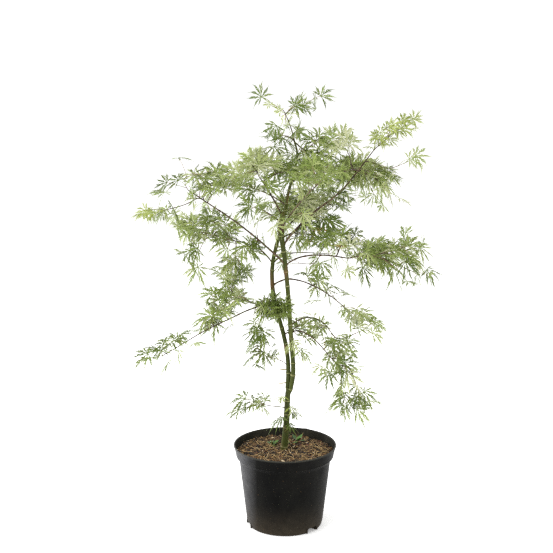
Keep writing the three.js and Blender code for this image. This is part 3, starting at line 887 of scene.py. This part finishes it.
def with_foot(path, radii, places):
    """The trunk's path with rows under its foot, and its top rounded off."""
    rows = np.arange(FOOT_ROWS, 0, -1)
    path = np.vstack([[path[0] - UP * (FOOT_ROW * row) for row in rows], path])
    radii = np.concatenate([[radii[0]] * FOOT_ROWS, radii])
    places = np.concatenate([places[0] - STEM_LOOK["step"] * rows, places])
    top = np.clip((places[-1] - places) / FORK_ROUND, 0, 1)
    return path, radii * np.sqrt(np.clip(1.06 - (1 - top) ** 2, 0.06, 1)), places


def make_bark(number, name):
    """One limb's bark: its path at even steps, with relief, in place of the CAD limb."""
    limb = limbs[name]
    is_stem = slot_of[name] == "stem_bark"
    look = STEM_LOOK if is_stem else BOUGH_LOOK
    path, radii, places = resampled(limb["path"], limb["radii"], look["step"])
    radii = np.maximum(radii * STEM_SLIM.get(name, BOUGH_SLIM), THINNEST_BOUGH)
    if name == "trunk":
        path, radii, places = with_foot(path, radii, places)
    else:
        grown = 1 + look["collar"] * hump(places, 2.6 * radii.mean() + 0.002)
        radii = np.minimum(radii * grown, limbs[limb["parent"]]["radii"].mean() * 1.02)
    relief, scars = bark_relief(places, look, 11 + 7 * number, name == "trunk")
    if name == KNOT_ON:
        up_from_knot = (path[:, 2] - KNOT_HEIGHT) / KNOT_LENGTH
        relief += KNOT_SWELL * hump(up_from_knot, 1)[:, None]
        scars[abs(up_from_knot) < 0.9] = 2
    points, faces, rings = tube(path, radii, look["sides"], relief)
    pile = Pile()
    pile.add(points, faces, scars[rings])
    looks = [stem_bark, stem_scar, bough_bark] if is_stem else [bough_bark, bough_scar]
    pile.piece(name + "_bark", looks, slot_of[name], True, [name])


for place, name in enumerate(limbs):
    make_bark(place, name)

# ---------------- twigs

TWIG_RADIUS = 0.00068  # where it bears one leaf
PIPE_POWER = 2.5  # it grows with the leaves further on, by the root of this power
THICKEST_SIDE_TWIG = 0.0024  # radius where a twig leaves another twig
TWIG_SIDES, TWIG_STRETCH = 6, 0.005
NODE_BUMP, NODE_SPACING = 0.28, 0.0115  # nodes that stand out along a twig
DARK_RADIUS = 0.0011  # thicker than this, a twig is dark
GREEN_END = 0.03  # length of its green end
TWIG_LOOKS = [
    plain_surface("twig_dark", "453527", 0.6),
    plain_surface("twig_red", "6c5342", 0.6),
    plain_surface("twig_green", "7d7f4a", 0.6),
]

wood_at = np.array(wood.at)
load = np.zeros(len(wood_at))
for index, _, _ in leaves:
    load[index] += 1
for index in range(len(wood_at) - 1, limb_points - 1, -1):
    load[wood.parent[index]] += load[index]
children = {}
for index in range(limb_points, len(wood_at)):
    if load[index] > 0:
        children.setdefault(wood.parent[index], []).append(index)
main_child = {p: max(kids, key=lambda k: load[k]) for p, kids in children.items()}
for _ in range(3):
    moved = wood_at.copy()
    for index in range(limb_points, len(wood_at)):
        child = main_child.get(index)
        if child is not None:
            moved[index] = 0.5 * wood_at[index] + 0.25 * (wood_at[wood.parent[index]] + wood_at[child])
    wood_at = moved

twig_pile = Pile()
spray_of = {}  # the chain of wood that a point belongs to
chains = 0
for parent, kids in children.items():
    for start in kids:
        if parent >= limb_points and start == main_child[parent]:
            continue
        chain = [start]
        while chain[-1] in main_child:
            chain.append(main_child[chain[-1]])
        for index in chain:
            spray_of[index] = chains
        chains += 1
        path = np.vstack([wood_at[parent], wood_at[chain]])
        radii = TWIG_RADIUS * np.array([load[k] for k in chain]) ** (1 / PIPE_POWER)
        thickest = 0.9 * wood.radius[parent] if parent < limb_points else THICKEST_SIDE_TWIG
        radii = np.minimum(np.concatenate([[radii[0] * 1.15], radii]), thickest)
        radii[-1] *= 0.8
        path, radii, places = resampled(path, radii, TWIG_STRETCH)
        bumps = 1 + NODE_BUMP * (np.sin(places / NODE_SPACING + chains) > 0.93)
        points, faces, rings = tube(path, radii * bumps, TWIG_SIDES)
        shade = np.where(radii > DARK_RADIUS, 0, np.where(places > places[-1] - GREEN_END, 2, 1))
        twig_pile.add(points, faces, shade[rings])
twig_pile.piece("twigs", TWIG_LOOKS, "bough_bark")

# ---------------- leaves on their stalks

TINTS = "596a2b 6b7934 7c8d45 8f9e58 9fa96d adb483 bbbe97 919d4c 9ea959 c39c44 a08a4c".split()
DEEPEST, PALEST = 0, 6
FRESH_TINT, BRIGHT_TINT, AMBER_TINT, STRAW_TINT = 7, 8, 9, 10
TURNED_MASS, TURNED_EVERY = "middle_right", 12  # there, one leaf in so many has turned
AMBER_SHARE = 0.7  # of those; the others are straw-coloured
SPRAY_SHARES = [0.03, 0.14, 0.29, 0.31, 0.18, 0.05, 0.0]
PAINTED_SHADE_BY_MASS = {  # painted shade: how many tints a mass is deeper than the usual, where it looks darker in the light; below zero it is paler, as painted light
    3: "front_left",
    2: "low_left lower_left_tip lowest_left",
    1: "far_right drooping_left middle_right outer_left inner_lower_right drooping_right lowest_right "
    "top_right",
    -1: "upper_left inner_crown stem outer_right right_shoulder",
}
LOOSE_PALEST = 3  # loose leaves are no paler than this
MOST_TRIANGLES = 180_000  # in one piece
LEAF_TRIANGLES = 700  # more than any leaf has
TRIES = 12
GOOD_ENOUGH = 0.85  # a place that keeps this share of the lobes' tips near the mass is taken at once
LOOSE_SIZE = 0.8  # against the leaves in the masses
ROOM = 0.024  # a place where a lobe's tip is further than this out of the CAD box is the worst
TIP_ALLOWANCE = 0.024  # a lobe's tip may reach this far out of its mass
STALK_SIDES, STALK_STEPS = 4, 5

leaf_looks = [
    plain_surface(f"leaf_{k}", code, 0.55, Specular_IOR_Level=0.25) for k, code in enumerate(TINTS)
]
stalk_looks = [
    plain_surface("stalk_green", "8f9a58", 0.55),
    plain_surface("stalk_pink", "9c8066", 0.55),
    plain_surface("stub_yellow", "9c8a48", 0.7),
]
draw = np.random.default_rng(77)
spray_tints = {}
leaf_pile, stalk_pile, held, number = Pile(), Pile(), [], 1


def hand_in():
    """Makes one piece of the leaves gathered so far."""
    global leaf_pile, held, number
    leaf_pile.piece(f"leaves_{number}", leaf_looks, "foliage", True, [m.name for m in held])
    leaf_pile, held, number = Pile(), [], number + 1


def spray_tint(mass, spray):
    """The tint of one spray of a mass, drawn when it is first asked for."""
    if (mass.name, spray) not in spray_tints:
        if draw.random() < mass.fresh:
            tint = FRESH_TINT + int(draw.random() < mass.fresh * 0.5)
        else:
            tint = int(draw.choice(len(SPRAY_SHARES), p=SPRAY_SHARES))
            # painted shade and light: some masses are dealt deeper or paler tints
            tint = int(np.clip(tint - level_of(mass.short, PAINTED_SHADE_BY_MASS, 0), DEEPEST, PALEST))
            tint = min(tint, LOOSE_PALEST) if mass is loose else tint
        spray_tints[mass.name, spray] = tint
    return spray_tints[mass.name, spray]


def place_leaf(index, spot, mass, turned):
    """A leaf and its stalk, turned so that its lobes keep near its mass and within the model's box."""
    base = wood_at[index]
    outward = (spot - mass.centre) / mass.half
    depth = min(np.linalg.norm(outward), 1.0)
    away = depth * unit(outward * mass.half**0.3)
    lean = unit(0.7 * unit(spot - base) + away + 0.35 * wood.heading[index])
    local, faces, tips, shades = leaf_kinds[draw.integers(LEAF_KINDS)]
    low = 1.25 - spot[2]  # hangs more, lower down the plant
    best = None
    for k in range(TRIES):
        ahead = unit(lean + draw.normal(0, 0.35 + 0.04 * k, 3))
        level = compass(draw.uniform(0, 2 * math.pi))
        face = 0.55 * UP + 0.5 * unit(outward * (1, 1, 0)) + 0.75 * level + draw.normal(0, 0.25, 3)
        size = LEAF_SIZE * draw.uniform(0.82, 1.1) * (1 - 0.42 * mass.fresh) * (1 - 0.02 * k)
        size *= LOOSE_SIZE if mass is loose else 1.0
        sag = draw.uniform(0.12, 0.36) + 0.3 * low
        at = spot - 0.3 * size * ahead
        ends = leaf_points(local[tips], size, at, ahead, face, sag)
        kept = 1.0
        if mass.triangles is not None:
            kept = inside(outward_by(ends, mass.centre, -TIP_ALLOWANCE), mass.triangles).mean()
        if (ends < cad_low - ROOM).any() or (ends > cad_high + ROOM).any():
            kept = 0.0
        if best is None or kept > best[0]:
            best = (kept, size, at, ahead, face, sag)
        if kept > GOOD_ENOUGH:
            break
    _, size, at, ahead, face, sag = best
    tint = spray_tint(mass, spray_of.get(index, -1))
    chance = draw.random()
    if tint <= PALEST:
        tint = int(np.clip(tint + draw.integers(-1, 2), DEEPEST, PALEST))
        # painted light and shade: the lobes' tint steps are added to the leaf's tint
        tint = np.clip(tint + shades, DEEPEST, PALEST)
        if turned:
            tint = AMBER_TINT if chance < AMBER_SHARE else STRAW_TINT
    elif chance < 0.3:
        tint = FRESH_TINT + BRIGHT_TINT - tint
    leaf_pile.add(leaf_points(local, size, at, ahead, face, sag), faces, tint)
    lift = 0.22 * np.linalg.norm(at - base) * UP
    t = np.linspace(0, 1, STALK_STEPS)[:, None]
    path = (1 - t) ** 2 * base + 2 * t * (1 - t) * (0.5 * (base + at) + lift) + t**2 * at
    points, faces, _ = tube(path, np.linspace(0.00062, 0.00046, STALK_STEPS), STALK_SIDES)
    stalk_pile.add(points, faces, int(draw.random() < 0.3))


for place, mass in enumerate([*masses, loose]):
    draw = np.random.default_rng([77, place])
    own = [leaf for leaf in leaves if leaf[2] is mass]
    if leaf_pile.triangles() + len(own) * LEAF_TRIANGLES > MOST_TRIANGLES:
        hand_in()
    for k, (index, spot, _) in enumerate(own):
        place_leaf(index, spot, mass, mass.short == TURNED_MASS and k % TURNED_EVERY == TURNED_EVERY // 2)
    if mass is not loose:
        held.append(mass)

SPROUTS = (  # on the trunk: height, which way a leaf runs (right, back, up), stalk, size, tint
    (0.338, (0.8, -0.4, -0.25), 0.004, 0.046, 7),
    (0.318, (0.9, -0.3, 0.0), 0.006, 0.048, 1),
    (0.292, (0.6, -0.7, -0.5), 0.004, 0.036, 0),
    (0.306, (-0.8, -0.3, -0.5), 0.006, 0.050, 0),
    (0.366, (-0.7, -0.6, -0.1), 0.010, 0.036, 7),
)
STUBS = (  # dry yellow ends of old shoots on the left stem: height, which way they point, length
    (0.443, (-1, -0.2, 0.05), 0.018),
    (0.409, (-1, -0.3, -0.05), 0.022),
)


def limb_at(name, height):
    """The middle of a limb at a height, and its radius there."""
    path, radii = limbs[name]["path"], limbs[name]["radii"]
    k = abs(path[:, 2] - height).argmin()
    return path[k], radii[k]


for height, ahead, stalk, size, tint in SPROUTS:
    middle, radius = limb_at("trunk", height)
    ahead = unit(np.array(ahead))
    level = unit(ahead * (1, 1, 0))
    base = middle + level * radius * 0.8
    at = base + level * (0.2 * radius + stalk) + UP * 0.3 * stalk
    for aim in (ahead, unit(ahead + 0.5 * np.cross(UP, level))):
        local, faces, _, _ = leaf_kinds[draw.integers(LEAF_KINDS)]
        leaf_pile.add(leaf_points(local, size, at, aim, UP + 0.5 * level, 0.5), faces, tint)
        size *= 0.6
    points, faces, _ = tube([base, (base + at) / 2, at], [0.0009, 0.0007, 0.0006], STALK_SIDES)
    stalk_pile.add(points, faces, 0)
for height, ahead, length in STUBS:
    middle, radius = limb_at("left_stem", height)
    ahead = unit(np.array(ahead))
    base = middle + ahead * radius * 0.7
    halfway = base + ahead * (0.3 * radius + length / 2)
    end = base + ahead * (0.3 * radius + length) + UP * 0.001
    points, faces, _ = tube([base, halfway, end], [0.0013, 0.0015, 0.0010], 6)
    stalk_pile.add(points, faces, 2)
hand_in()
stalk_pile.piece("leaf_stalks", stalk_looks, "foliage")

# ---------------- the pot

pot_low, pot_high = (np.array(corner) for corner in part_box("pot"))
RIM_RADIUS = (pot_high[0] - pot_low[0]) / 2
POT_HEIGHT = pot_high[2]
POT_WALL, POT_FLOOR = 0.0024, 0.003
BAND_FOOT, BAND_SLOPE = POT_HEIGHT - 0.031, 0.007  # the band under the rim, and how far it leans out
SHOULDER, SHOULDER_HEIGHT = 0.0085, 0.009  # the step in below the band
LIP_HEIGHT, LIP_WIDTH = 0.004, 0.0035
WALL_FOOT = (0.106, 0.012)  # radius and height
FOOT_RADIUS = 0.102
FOLD_RISE = 0.002  # how much higher the inner face turns
ARC_STEPS = 4
POT_SIDES = 160
NOTCH_AZIMUTHS = (-44, 76, 196)
NOTCH_OUTLINE = (  # millimetres, sideways and up
    (-19, -3), (-18.4, 9), (-15, 14.2), (-8, 15), (-1, 12.6), (7, 14.6), (14, 14), (18, 10), (19, -3)
)
NOTCH_DEPTH, NOTCH_WALL = 0.026, 0.0022
HOUSING_HEIGHT, HOUSING_WIDTH = 0.0172, 0.0424
HOLE = (0.016, 0.005, 0.013)  # its width, foot and top
RIM_BUMP_AZIMUTH, RIM_BUMP_WIDTH, RIM_BUMP_HEIGHT = 64, 3.0, 0.0014  # a flaw on the lip
SHARP = math.radians(34)
DUSTY_OUTSIDE, DUSTY_INSIDE = (0.0, 0.1), (0.25, 0.9)  # least and most dust
WEAR_AND_HIGHLIGHT_OUTSIDE, WEAR_AND_HIGHLIGHT_INSIDE = (0.8, 0.0), (0.0, 0.0)  # pale wear and painted highlight on the left side, and on the rest
WEAR_AND_HIGHLIGHT_SPAN = (-0.128, -0.076)  # across the pot's left side, where the pale patch is partly wear and partly a painted highlight


def filleted(profile):
    """Corners (radius, height, fillet) as points, each corner rounded by an arc of its fillet."""
    points = []
    for k, (r, z, fillet) in enumerate(profile):
        here = np.array([r, z])
        if not fillet:
            points.append(here)
            continue
        back, on = (np.array(profile[n][:2]) - here for n in (k - 1, k + 1))
        reach = min(fillet, 0.45 * np.linalg.norm(back), 0.45 * np.linalg.norm(on))
        start, end = here + reach * unit(back), here + reach * unit(on)
        for t in np.linspace(0, 1, ARC_STEPS + 1):
            points.append((1 - t) ** 2 * start + 2 * t * (1 - t) * here + t**2 * end)
    return np.array(points)


def pot_profile():
    band_foot_radius = RIM_RADIUS - BAND_SLOPE
    wall_top = (band_foot_radius - SHOULDER, BAND_FOOT - SHOULDER_HEIGHT)
    lip_foot = POT_HEIGHT - LIP_HEIGHT
    return filleted(
        [
            (0, 0, 0),
            (FOOT_RADIUS, 0, 0.003),
            (*WALL_FOOT, 0.012),
            (*wall_top, 0.003),
            (band_foot_radius - 0.0008, BAND_FOOT - 0.0012, 0.001),
            (band_foot_radius + 0.0003, BAND_FOOT + 0.0006, 0.001),
            (band_foot_radius, BAND_FOOT + 0.0026, 0.001),
            (RIM_RADIUS - 0.0012, lip_foot, 0.0006),
            (RIM_RADIUS, lip_foot + 0.0009, 0.0009),
            (RIM_RADIUS - 0.0002, POT_HEIGHT, 0.0016),
            (RIM_RADIUS - LIP_WIDTH, POT_HEIGHT, 0.0012),
            (RIM_RADIUS - LIP_WIDTH - 0.0004, lip_foot, 0.003),
            (band_foot_radius - POT_WALL, BAND_FOOT + FOLD_RISE, 0.004),
            (wall_top[0] - POT_WALL, wall_top[1] + FOLD_RISE, 0.004),
            (WALL_FOOT[0] - POT_WALL, WALL_FOOT[1], 0.006),
            (FOOT_RADIUS - POT_WALL, POT_FLOOR, 0.002),
            (0, POT_FLOOR, 0),
        ]
    )


def mesh_object(name, points, faces):
    mesh = bpy.data.meshes.new(name)
    mesh.from_pydata([tuple(p) for p in points], [], [tuple(f) for f in faces])
    shape = bmesh.new()
    shape.from_mesh(mesh)
    bmesh.ops.recalc_face_normals(shape, faces=shape.faces)
    shape.to_mesh(mesh)
    shape.free()
    return new_object(name, mesh)


def turned(name, profile, sides):
    """A closed surface of revolution from a profile that starts and ends on the axis."""
    inner = profile[1:-1]
    rows = len(inner)
    points = [(r * math.cos(a), r * math.sin(a), z) for a in turns(sides) for r, z in inner]
    low, high = len(points), len(points) + 1
    points += [(0, 0, profile[0][1]), (0, 0, profile[-1][1])]
    faces = []
    for k in range(sides):
        here, there = k * rows, (k + 1) % sides * rows
        faces += [(here + i, there + i, there + i + 1, here + i + 1) for i in range(rows - 1)]
        faces += [(low, there, here), (here + rows - 1, there + rows - 1, high)]
    return mesh_object(name, points, faces)


def foot_block(azimuth, outline, start, end):
    """A prism that runs out along an azimuth, with its outline (sideways, up) across that."""
    out = compass(math.radians(azimuth))
    side = np.cross(UP, out)
    points = [out * r + side * x + UP * z for r in (start, end) for x, z in outline]
    n = len(outline)
    faces = [tuple(range(n))[::-1], tuple(range(n, 2 * n))]
    faces += [(k, (k + 1) % n, n + (k + 1) % n, n + k) for k in range(n)]
    return mesh_object("block", points, faces)


def rectangle(width, low, high):
    return [(-width / 2, high), (-width / 2, low), (width / 2, low), (width / 2, high)]


def combine(body, tool, operation):
    modifier = body.modifiers.new("cut", "BOOLEAN")
    modifier.object, modifier.operation, modifier.solver = tool, operation, "EXACT"
    shape = bpy.data.meshes.new_from_object(body.evaluated_get(bpy.context.evaluated_depsgraph_get()))
    body.modifiers.clear()
    body.data = shape
    bpy.data.objects.remove(tool)


def pot_surface(name, dusty, wear_and_highlight):
    """Black moulded plastic with handling dust, splashes towards the foot and a scuffed sheen, a pale patch
    on the left side that is partly wear and partly a painted highlight, and a painted highlight along the
    top of the lip.
    """
    s = Surface(name, "080808", 0.45, Specular_IOR_Level=0.05)
    mottle = s.ramp(s.noise(26.0, detail=5.0), [(0.3, "040404"), (0.7, "0b0b0a")])
    dust = s.span(s.noise(9.0, (1, 1, 0.6), 6.0, 0.7), 0.45, 0.75, *dusty)
    colour = s.mix(dust, mottle, "46443a")
    patches = s.noise(40.0, detail=6.0, roughness=0.7)
    # painted highlight: a pale grey patch on the left side, partly real wear, stands in for the reflection
    # along the pot's left edge
    wear_and_highlight = s.reckon("MULTIPLY", s.span(s.axis("X"), *WEAR_AND_HIGHLIGHT_SPAN, *wear_and_highlight), patches)
    colour = s.mix(wear_and_highlight, colour, "77777a")
    # painted highlight: the top of the lip is painted paler grey, for the light that it catches
    lip_highlight = s.span(s.axis("Z"), POT_HEIGHT - 0.005, POT_HEIGHT - 0.001, 0.0, 0.6)
    colour = s.mix(lip_highlight, colour, "45453f")
    low = s.reckon("POWER", s.span(s.axis("Z"), 0.0, 0.1, 0.72, 0.0), 1.6)
    foot_dust = s.reckon("MULTIPLY", low, s.noise(60.0, detail=6.0, roughness=0.7))
    colour = s.mix(foot_dust, colour, "5b5142")
    specks = s.node("ShaderNodeTexVoronoi", {"Vector": s.place(), "Scale": 260.0, "Randomness": 1.0})
    size = s.span(specks.outputs["Distance"], 0.12, 0.2, 1.0, 0.0)
    drawn = s.node("ShaderNodeSeparateColor", {"Color": specks.outputs["Color"]}).outputs
    few = s.span(drawn[0], 0.86, 0.92, 0.0, 0.4)
    more = s.reckon("MULTIPLY", s.span(drawn[0], 0.75, 0.8, 0.0, 1.0), low)
    share = s.reckon("MULTIPLY", s.reckon("MAXIMUM", few, more), size)
    tone = s.ramp(drawn[1], [(0.6, "6f6d62"), (0.8, "98784c"), (0.95, "c08a52")])
    colour = s.mix(share, colour, tone)
    s.feed("Base Color", colour)
    grain = s.noise(420.0, detail=4.0, roughness=0.7)
    s.feed("Roughness", s.span(s.noise(18.0, (1, 1, 0.4), 5.0), 0.3, 0.7, 0.4, 0.56))
    s.bump(grain, 0.12, 0.0004)
    return s.material


def make_pot():
    """The pot: a turned shell, with drain notches cut into housings in its foot."""
    pot = turned("pot_shell", pot_profile(), POT_SIDES)
    inside_edge = FOOT_RADIUS - NOTCH_DEPTH
    for azimuth in NOTCH_AZIMUTHS:
        outline = rectangle(HOUSING_WIDTH, POT_FLOOR / 2, HOUSING_HEIGHT)
        housing = foot_block(azimuth, outline, inside_edge - NOTCH_WALL, WALL_FOOT[0] - POT_WALL / 2)
        combine(pot, housing, "UNION")
    for azimuth in NOTCH_AZIMUTHS:
        outline = [(x / 1000, z / 1000) for x, z in NOTCH_OUTLINE]
        combine(pot, foot_block(azimuth, outline, inside_edge, RIM_RADIUS), "DIFFERENCE")
        hole = foot_block(azimuth, rectangle(*HOLE), inside_edge - 2 * NOTCH_WALL, inside_edge + NOTCH_WALL)
        combine(pot, hole, "DIFFERENCE")
    for corner in pot.data.vertices:
        x, y, z = corner.co
        above = z - POT_HEIGHT + LIP_HEIGHT / 2
        if z > POT_HEIGHT - LIP_HEIGHT / 2:
            off = (math.degrees(math.atan2(y, x)) - RIM_BUMP_AZIMUTH) / RIM_BUMP_WIDTH
            corner.co.z += RIM_BUMP_HEIGHT * math.exp(-(off**2)) * above / (LIP_HEIGHT / 2)
    pot.data.materials.append(pot_surface("pot_black_plastic", DUSTY_OUTSIDE, WEAR_AND_HIGHLIGHT_OUTSIDE))
    pot.data.materials.append(pot_surface("pot_dusty_inside", DUSTY_INSIDE, WEAR_AND_HIGHLIGHT_INSIDE))
    for side in pot.data.polygons:
        x, y, z = side.center
        if z < POT_HEIGHT - 0.002 and x * side.normal.x + y * side.normal.y < -0.3 * math.hypot(x, y):
            side.material_index = 1
    pot.data.shade_smooth()
    pot.data.set_sharp_from_angle(angle=SHARP)
    declare(pot, ["pot"])


make_pot()

# ---------------- the potting mix

MIX_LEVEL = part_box("trunk")[0][2]
MIX_RADIUS = 0.1335
MIX_SIDES = (  # the mix's outline down the inside of the pot, to its underside over the drain housings
    (RIM_RADIUS - BAND_SLOPE - POT_WALL - 0.002, BAND_FOOT + 0.003),
    (RIM_RADIUS - BAND_SLOPE - SHOULDER - POT_WALL - 0.002, BAND_FOOT - SHOULDER_HEIGHT),
    (WALL_FOOT[0] - POT_WALL - 0.002, HOUSING_HEIGHT + 0.001),
)
MIX_RINGS, MIX_SPOKES = 40, 120
EDGE_SINK = 0.004  # how much lower the mix is at the pot's wall
EDGE_GAP = 0.003  # between the loose pieces and the edge of the mix
HOLLOW_AT, HOLLOW_RADIUS, HOLLOW_DEPTH = (0.024, 0.018), 0.015, 0.016  # right behind the trunk; the chips in it are painted dark as shade
CHIPS, FIBRES = 6500, 520
CHIP_SIZES, FIBRE_LENGTHS, FIBRE_RADII = (0.0028, 0.0085), (0.008, 0.032), (0.0004, 0.0009)
LONG_CHIP, LONG_SHARE = 1.5, 0.05  # a few chips are this much longer
CHIP_COLOURS = "140d07 271c10 432f1a 5f4527 7c5e35 99794b c2b090 5c301c".split()
mix_looks = [plain_surface(f"chip_{k}", code, 0.85) for k, code in enumerate(CHIP_COLOURS)]
CHIP_SHARES = [0.25, 0.22, 0.17, 0.13, 0.09, 0.07, 0.02, 0.05]
fibre_looks = [plain_surface("fibre_straw", "a98f62", 0.8), plain_surface("fibre_brown", "6b5233", 0.8)]


def mix_height(x, y):
    """The top of the mix: uneven, lower at the edge, with a hollow behind the trunk."""
    radius = math.hypot(x, y)
    swell = 0.0030 * wobble(x * 19, y * 19, 3.1) + 0.0016 * wobble(x * 62, y * 62, 5.7)
    out = min(max((radius - 0.02) / (MIX_RADIUS - 0.02), 0), 1) ** 2
    away = ((x - HOLLOW_AT[0]) ** 2 + (y - HOLLOW_AT[1]) ** 2) / HOLLOW_RADIUS**2
    hollow = HOLLOW_DEPTH * math.exp(-(away**1.5))
    return MIX_LEVEL + swell * min(radius / 0.03, 1) - EDGE_SINK * out - hollow


def make_bed():
    """The solid bed under the loose pieces."""
    points = [(0, 0, MIX_LEVEL)]
    for i in range(1, MIX_RINGS + 1):
        ring = circle(MIX_RADIUS * i / MIX_RINGS, MIX_SPOKES)
        points += [(x, y, mix_height(x, y) - 0.001) for x, y, _ in ring]
    faces = [(0, 1 + k, 1 + (k + 1) % MIX_SPOKES) for k in range(MIX_SPOKES)]
    for i in range(MIX_RINGS - 1):
        for k in range(MIX_SPOKES):
            a, b = 1 + i * MIX_SPOKES + k, 1 + i * MIX_SPOKES + (k + 1) % MIX_SPOKES
            faces.append((a, a + MIX_SPOKES, b + MIX_SPOKES, b))
    for r, z in MIX_SIDES:
        edge = len(points) - MIX_SPOKES
        points += circle(r, MIX_SPOKES, z)
        for k in range(MIX_SPOKES):
            n = (k + 1) % MIX_SPOKES
            faces.append((edge + k, edge + MIX_SPOKES + k, edge + MIX_SPOKES + n, edge + n))
    faces.append(tuple(len(points) - MIX_SPOKES + k for k in range(MIX_SPOKES))[::-1])
    bed = mesh_object("mix_bed", points, faces)
    earth = Surface("mix_earth", "2c2118", 0.95)
    grains = earth.noise(260.0, detail=6.0, roughness=0.75)
    shades = [(0.3, "17100a"), (0.5, "35261a"), (0.65, "5b4530"), (0.8, "7c6243")]
    earth.feed("Base Color", earth.ramp(grains, shades))
    earth.bump(grains, 0.8, 0.002)
    bed.data.materials.append(earth.material)
    bed.data.shade_smooth()
    declare(bed, ["potting_mix"])


def make_chips(draw):
    """Bark chips and crumbs, as boxes with jittered corners, lying on the bed."""
    cube = np.array([(x, y, z) for x in (-0.5, 0.5) for y in (-0.5, 0.5) for z in (-0.5, 0.5)])
    squares = ((0, 1, 3, 2), (4, 6, 7, 5), (0, 4, 5, 1), (2, 3, 7, 6), (0, 2, 6, 4), (1, 5, 7, 3))
    sides = [half for a, b, c, d in squares for half in ((a, b, c), (a, c, d))]
    pile = Pile()
    for _ in range(CHIPS):
        r = (MIX_RADIUS - EDGE_GAP) * math.sqrt(draw.random())
        x, y, _ = r * compass(draw.uniform(0, 2 * math.pi))
        if math.hypot(x - foot_at[0], y - foot_at[1]) < foot_radius:
            continue
        longest = draw.uniform(*CHIP_SIZES) * (LONG_CHIP if draw.random() < LONG_SHARE else 1)
        size = longest * np.array([1, draw.uniform(0.35, 0.75), draw.uniform(0.2, 0.45)])
        shape = (cube + draw.normal(0, 0.11, (8, 3))) * size
        turn, tilt, roll = draw.uniform(0, 2 * math.pi), draw.normal(0, 0.32), draw.normal(0, 0.4)
        ahead = np.array([math.cos(turn) * math.cos(tilt), math.sin(turn) * math.cos(tilt), math.sin(tilt)])
        side = unit(np.cross(UP, ahead))
        side = unit(side * math.cos(roll) + np.cross(ahead, side) * math.sin(roll))
        axes = np.array([ahead, side, np.cross(ahead, side)])
        at = np.array([x, y, mix_height(x, y) + draw.uniform(-0.0012, 0.0016)])
        tint = int(draw.choice(len(CHIP_SHARES), p=CHIP_SHARES))
        # painted shade: chips in the hollow behind the trunk get only the two darkest colours
        if math.hypot(x - HOLLOW_AT[0], y - HOLLOW_AT[1]) < HOLLOW_RADIUS:
            tint = min(tint, 1)
        pile.add(at + shape @ axes, sides, tint)
    pile.piece("mix_chips", mix_looks, "potting_mix", False)


def make_fibres(draw):
    """Thin curved fibres that lie on the bed or stand up out of it."""
    pile = Pile()
    for _ in range(FIBRES):
        r = (MIX_RADIUS - 4 * EDGE_GAP) * math.sqrt(draw.random())
        x, y, _ = r * compass(draw.uniform(0, 2 * math.pi))
        length, turn, curl = draw.uniform(*FIBRE_LENGTHS), draw.uniform(0, 2 * math.pi), draw.normal(0, 0.5)
        rise = max(draw.normal(0.05, 0.32), -0.1)
        path = []
        for t in np.linspace(-0.5, 0.5, 5):
            px = x + length * t * math.cos(turn + curl * t)
            py = y + length * t * math.sin(turn + curl * t)
            path.append((px, py, mix_height(x, y) + 0.0022 + length * rise * (t + 0.5) + 0.0004 * abs(t)))
        if max(math.hypot(px, py) for px, py, _ in path) > MIX_RADIUS - EDGE_GAP:
            continue
        thick = draw.uniform(*FIBRE_RADII)
        points, faces, _ = tube(path, np.array([0.6, 1, 1, 1, 0.5]) * thick, 5)
        pile.add(points, faces, int(draw.random() < 0.35))
    pile.piece("mix_fibres", fibre_looks, "potting_mix")


WEEDS = (((-0.034, 0.040), 9), ((0.036, 0.072), 7), ((0.018, 0.052), 3))  # where, and how many leaves
WEED_OUTLINE = ((0, 0.05), (0.25, 0.2), (0.42, 0.17), (0.6, 0.26), (0.8, 0.14), (1.0, 0.0))
weed_looks = [plain_surface("weed_deep", "2f5213", 0.55), plain_surface("weed_bright", "4c7620", 0.55)]


def make_weeds(draw):
    """Small seedlings on the mix, each a tuft of leaves on stalks."""
    pile = Pile()
    for (x, y), count in WEEDS:
        root = np.array([x, y, mix_height(x, y) + 0.001])
        for k in range(count):
            turn = 2 * math.pi * k / count + draw.normal(0, 0.3)
            ahead = compass(turn, draw.uniform(0.2, 0.9))
            length = draw.uniform(0.015, 0.023)
            at = root + unit(ahead) * draw.uniform(0.002, 0.006)
            side, ahead = unit(np.cross(UP, ahead)), unit(ahead)
            up = np.cross(ahead, side)
            points, faces = [], []
            for t, half in WEED_OUTLINE:
                for edge in (1, 0, -1):
                    arch = 0.16 * abs(edge) - 0.3 * t * t
                    points.append(at + length * (t * ahead + edge * half * side + arch * half * up))
            for a in range(0, len(points) - 3, 3):
                faces += [(a, a + 1, a + 4), (a, a + 4, a + 3), (a + 1, a + 2, a + 5), (a + 1, a + 5, a + 4)]
            pile.add(points, faces, int(draw.random() < 0.5))
            stalk, stalk_faces, _ = tube([root, (root + at) / 2, at], [0.0005] * 3, 4)
            pile.add(stalk, stalk_faces, 0)
    pile.piece("seedlings", weed_looks, "foliage")


foot_at, foot_radius = limbs["trunk"]["path"][0], limbs["trunk"]["radii"][0] * 0.9
make_bed()
mix_draw = np.random.default_rng(5)
make_chips(mix_draw)
make_fibres(mix_draw)
make_weeds(mix_draw)
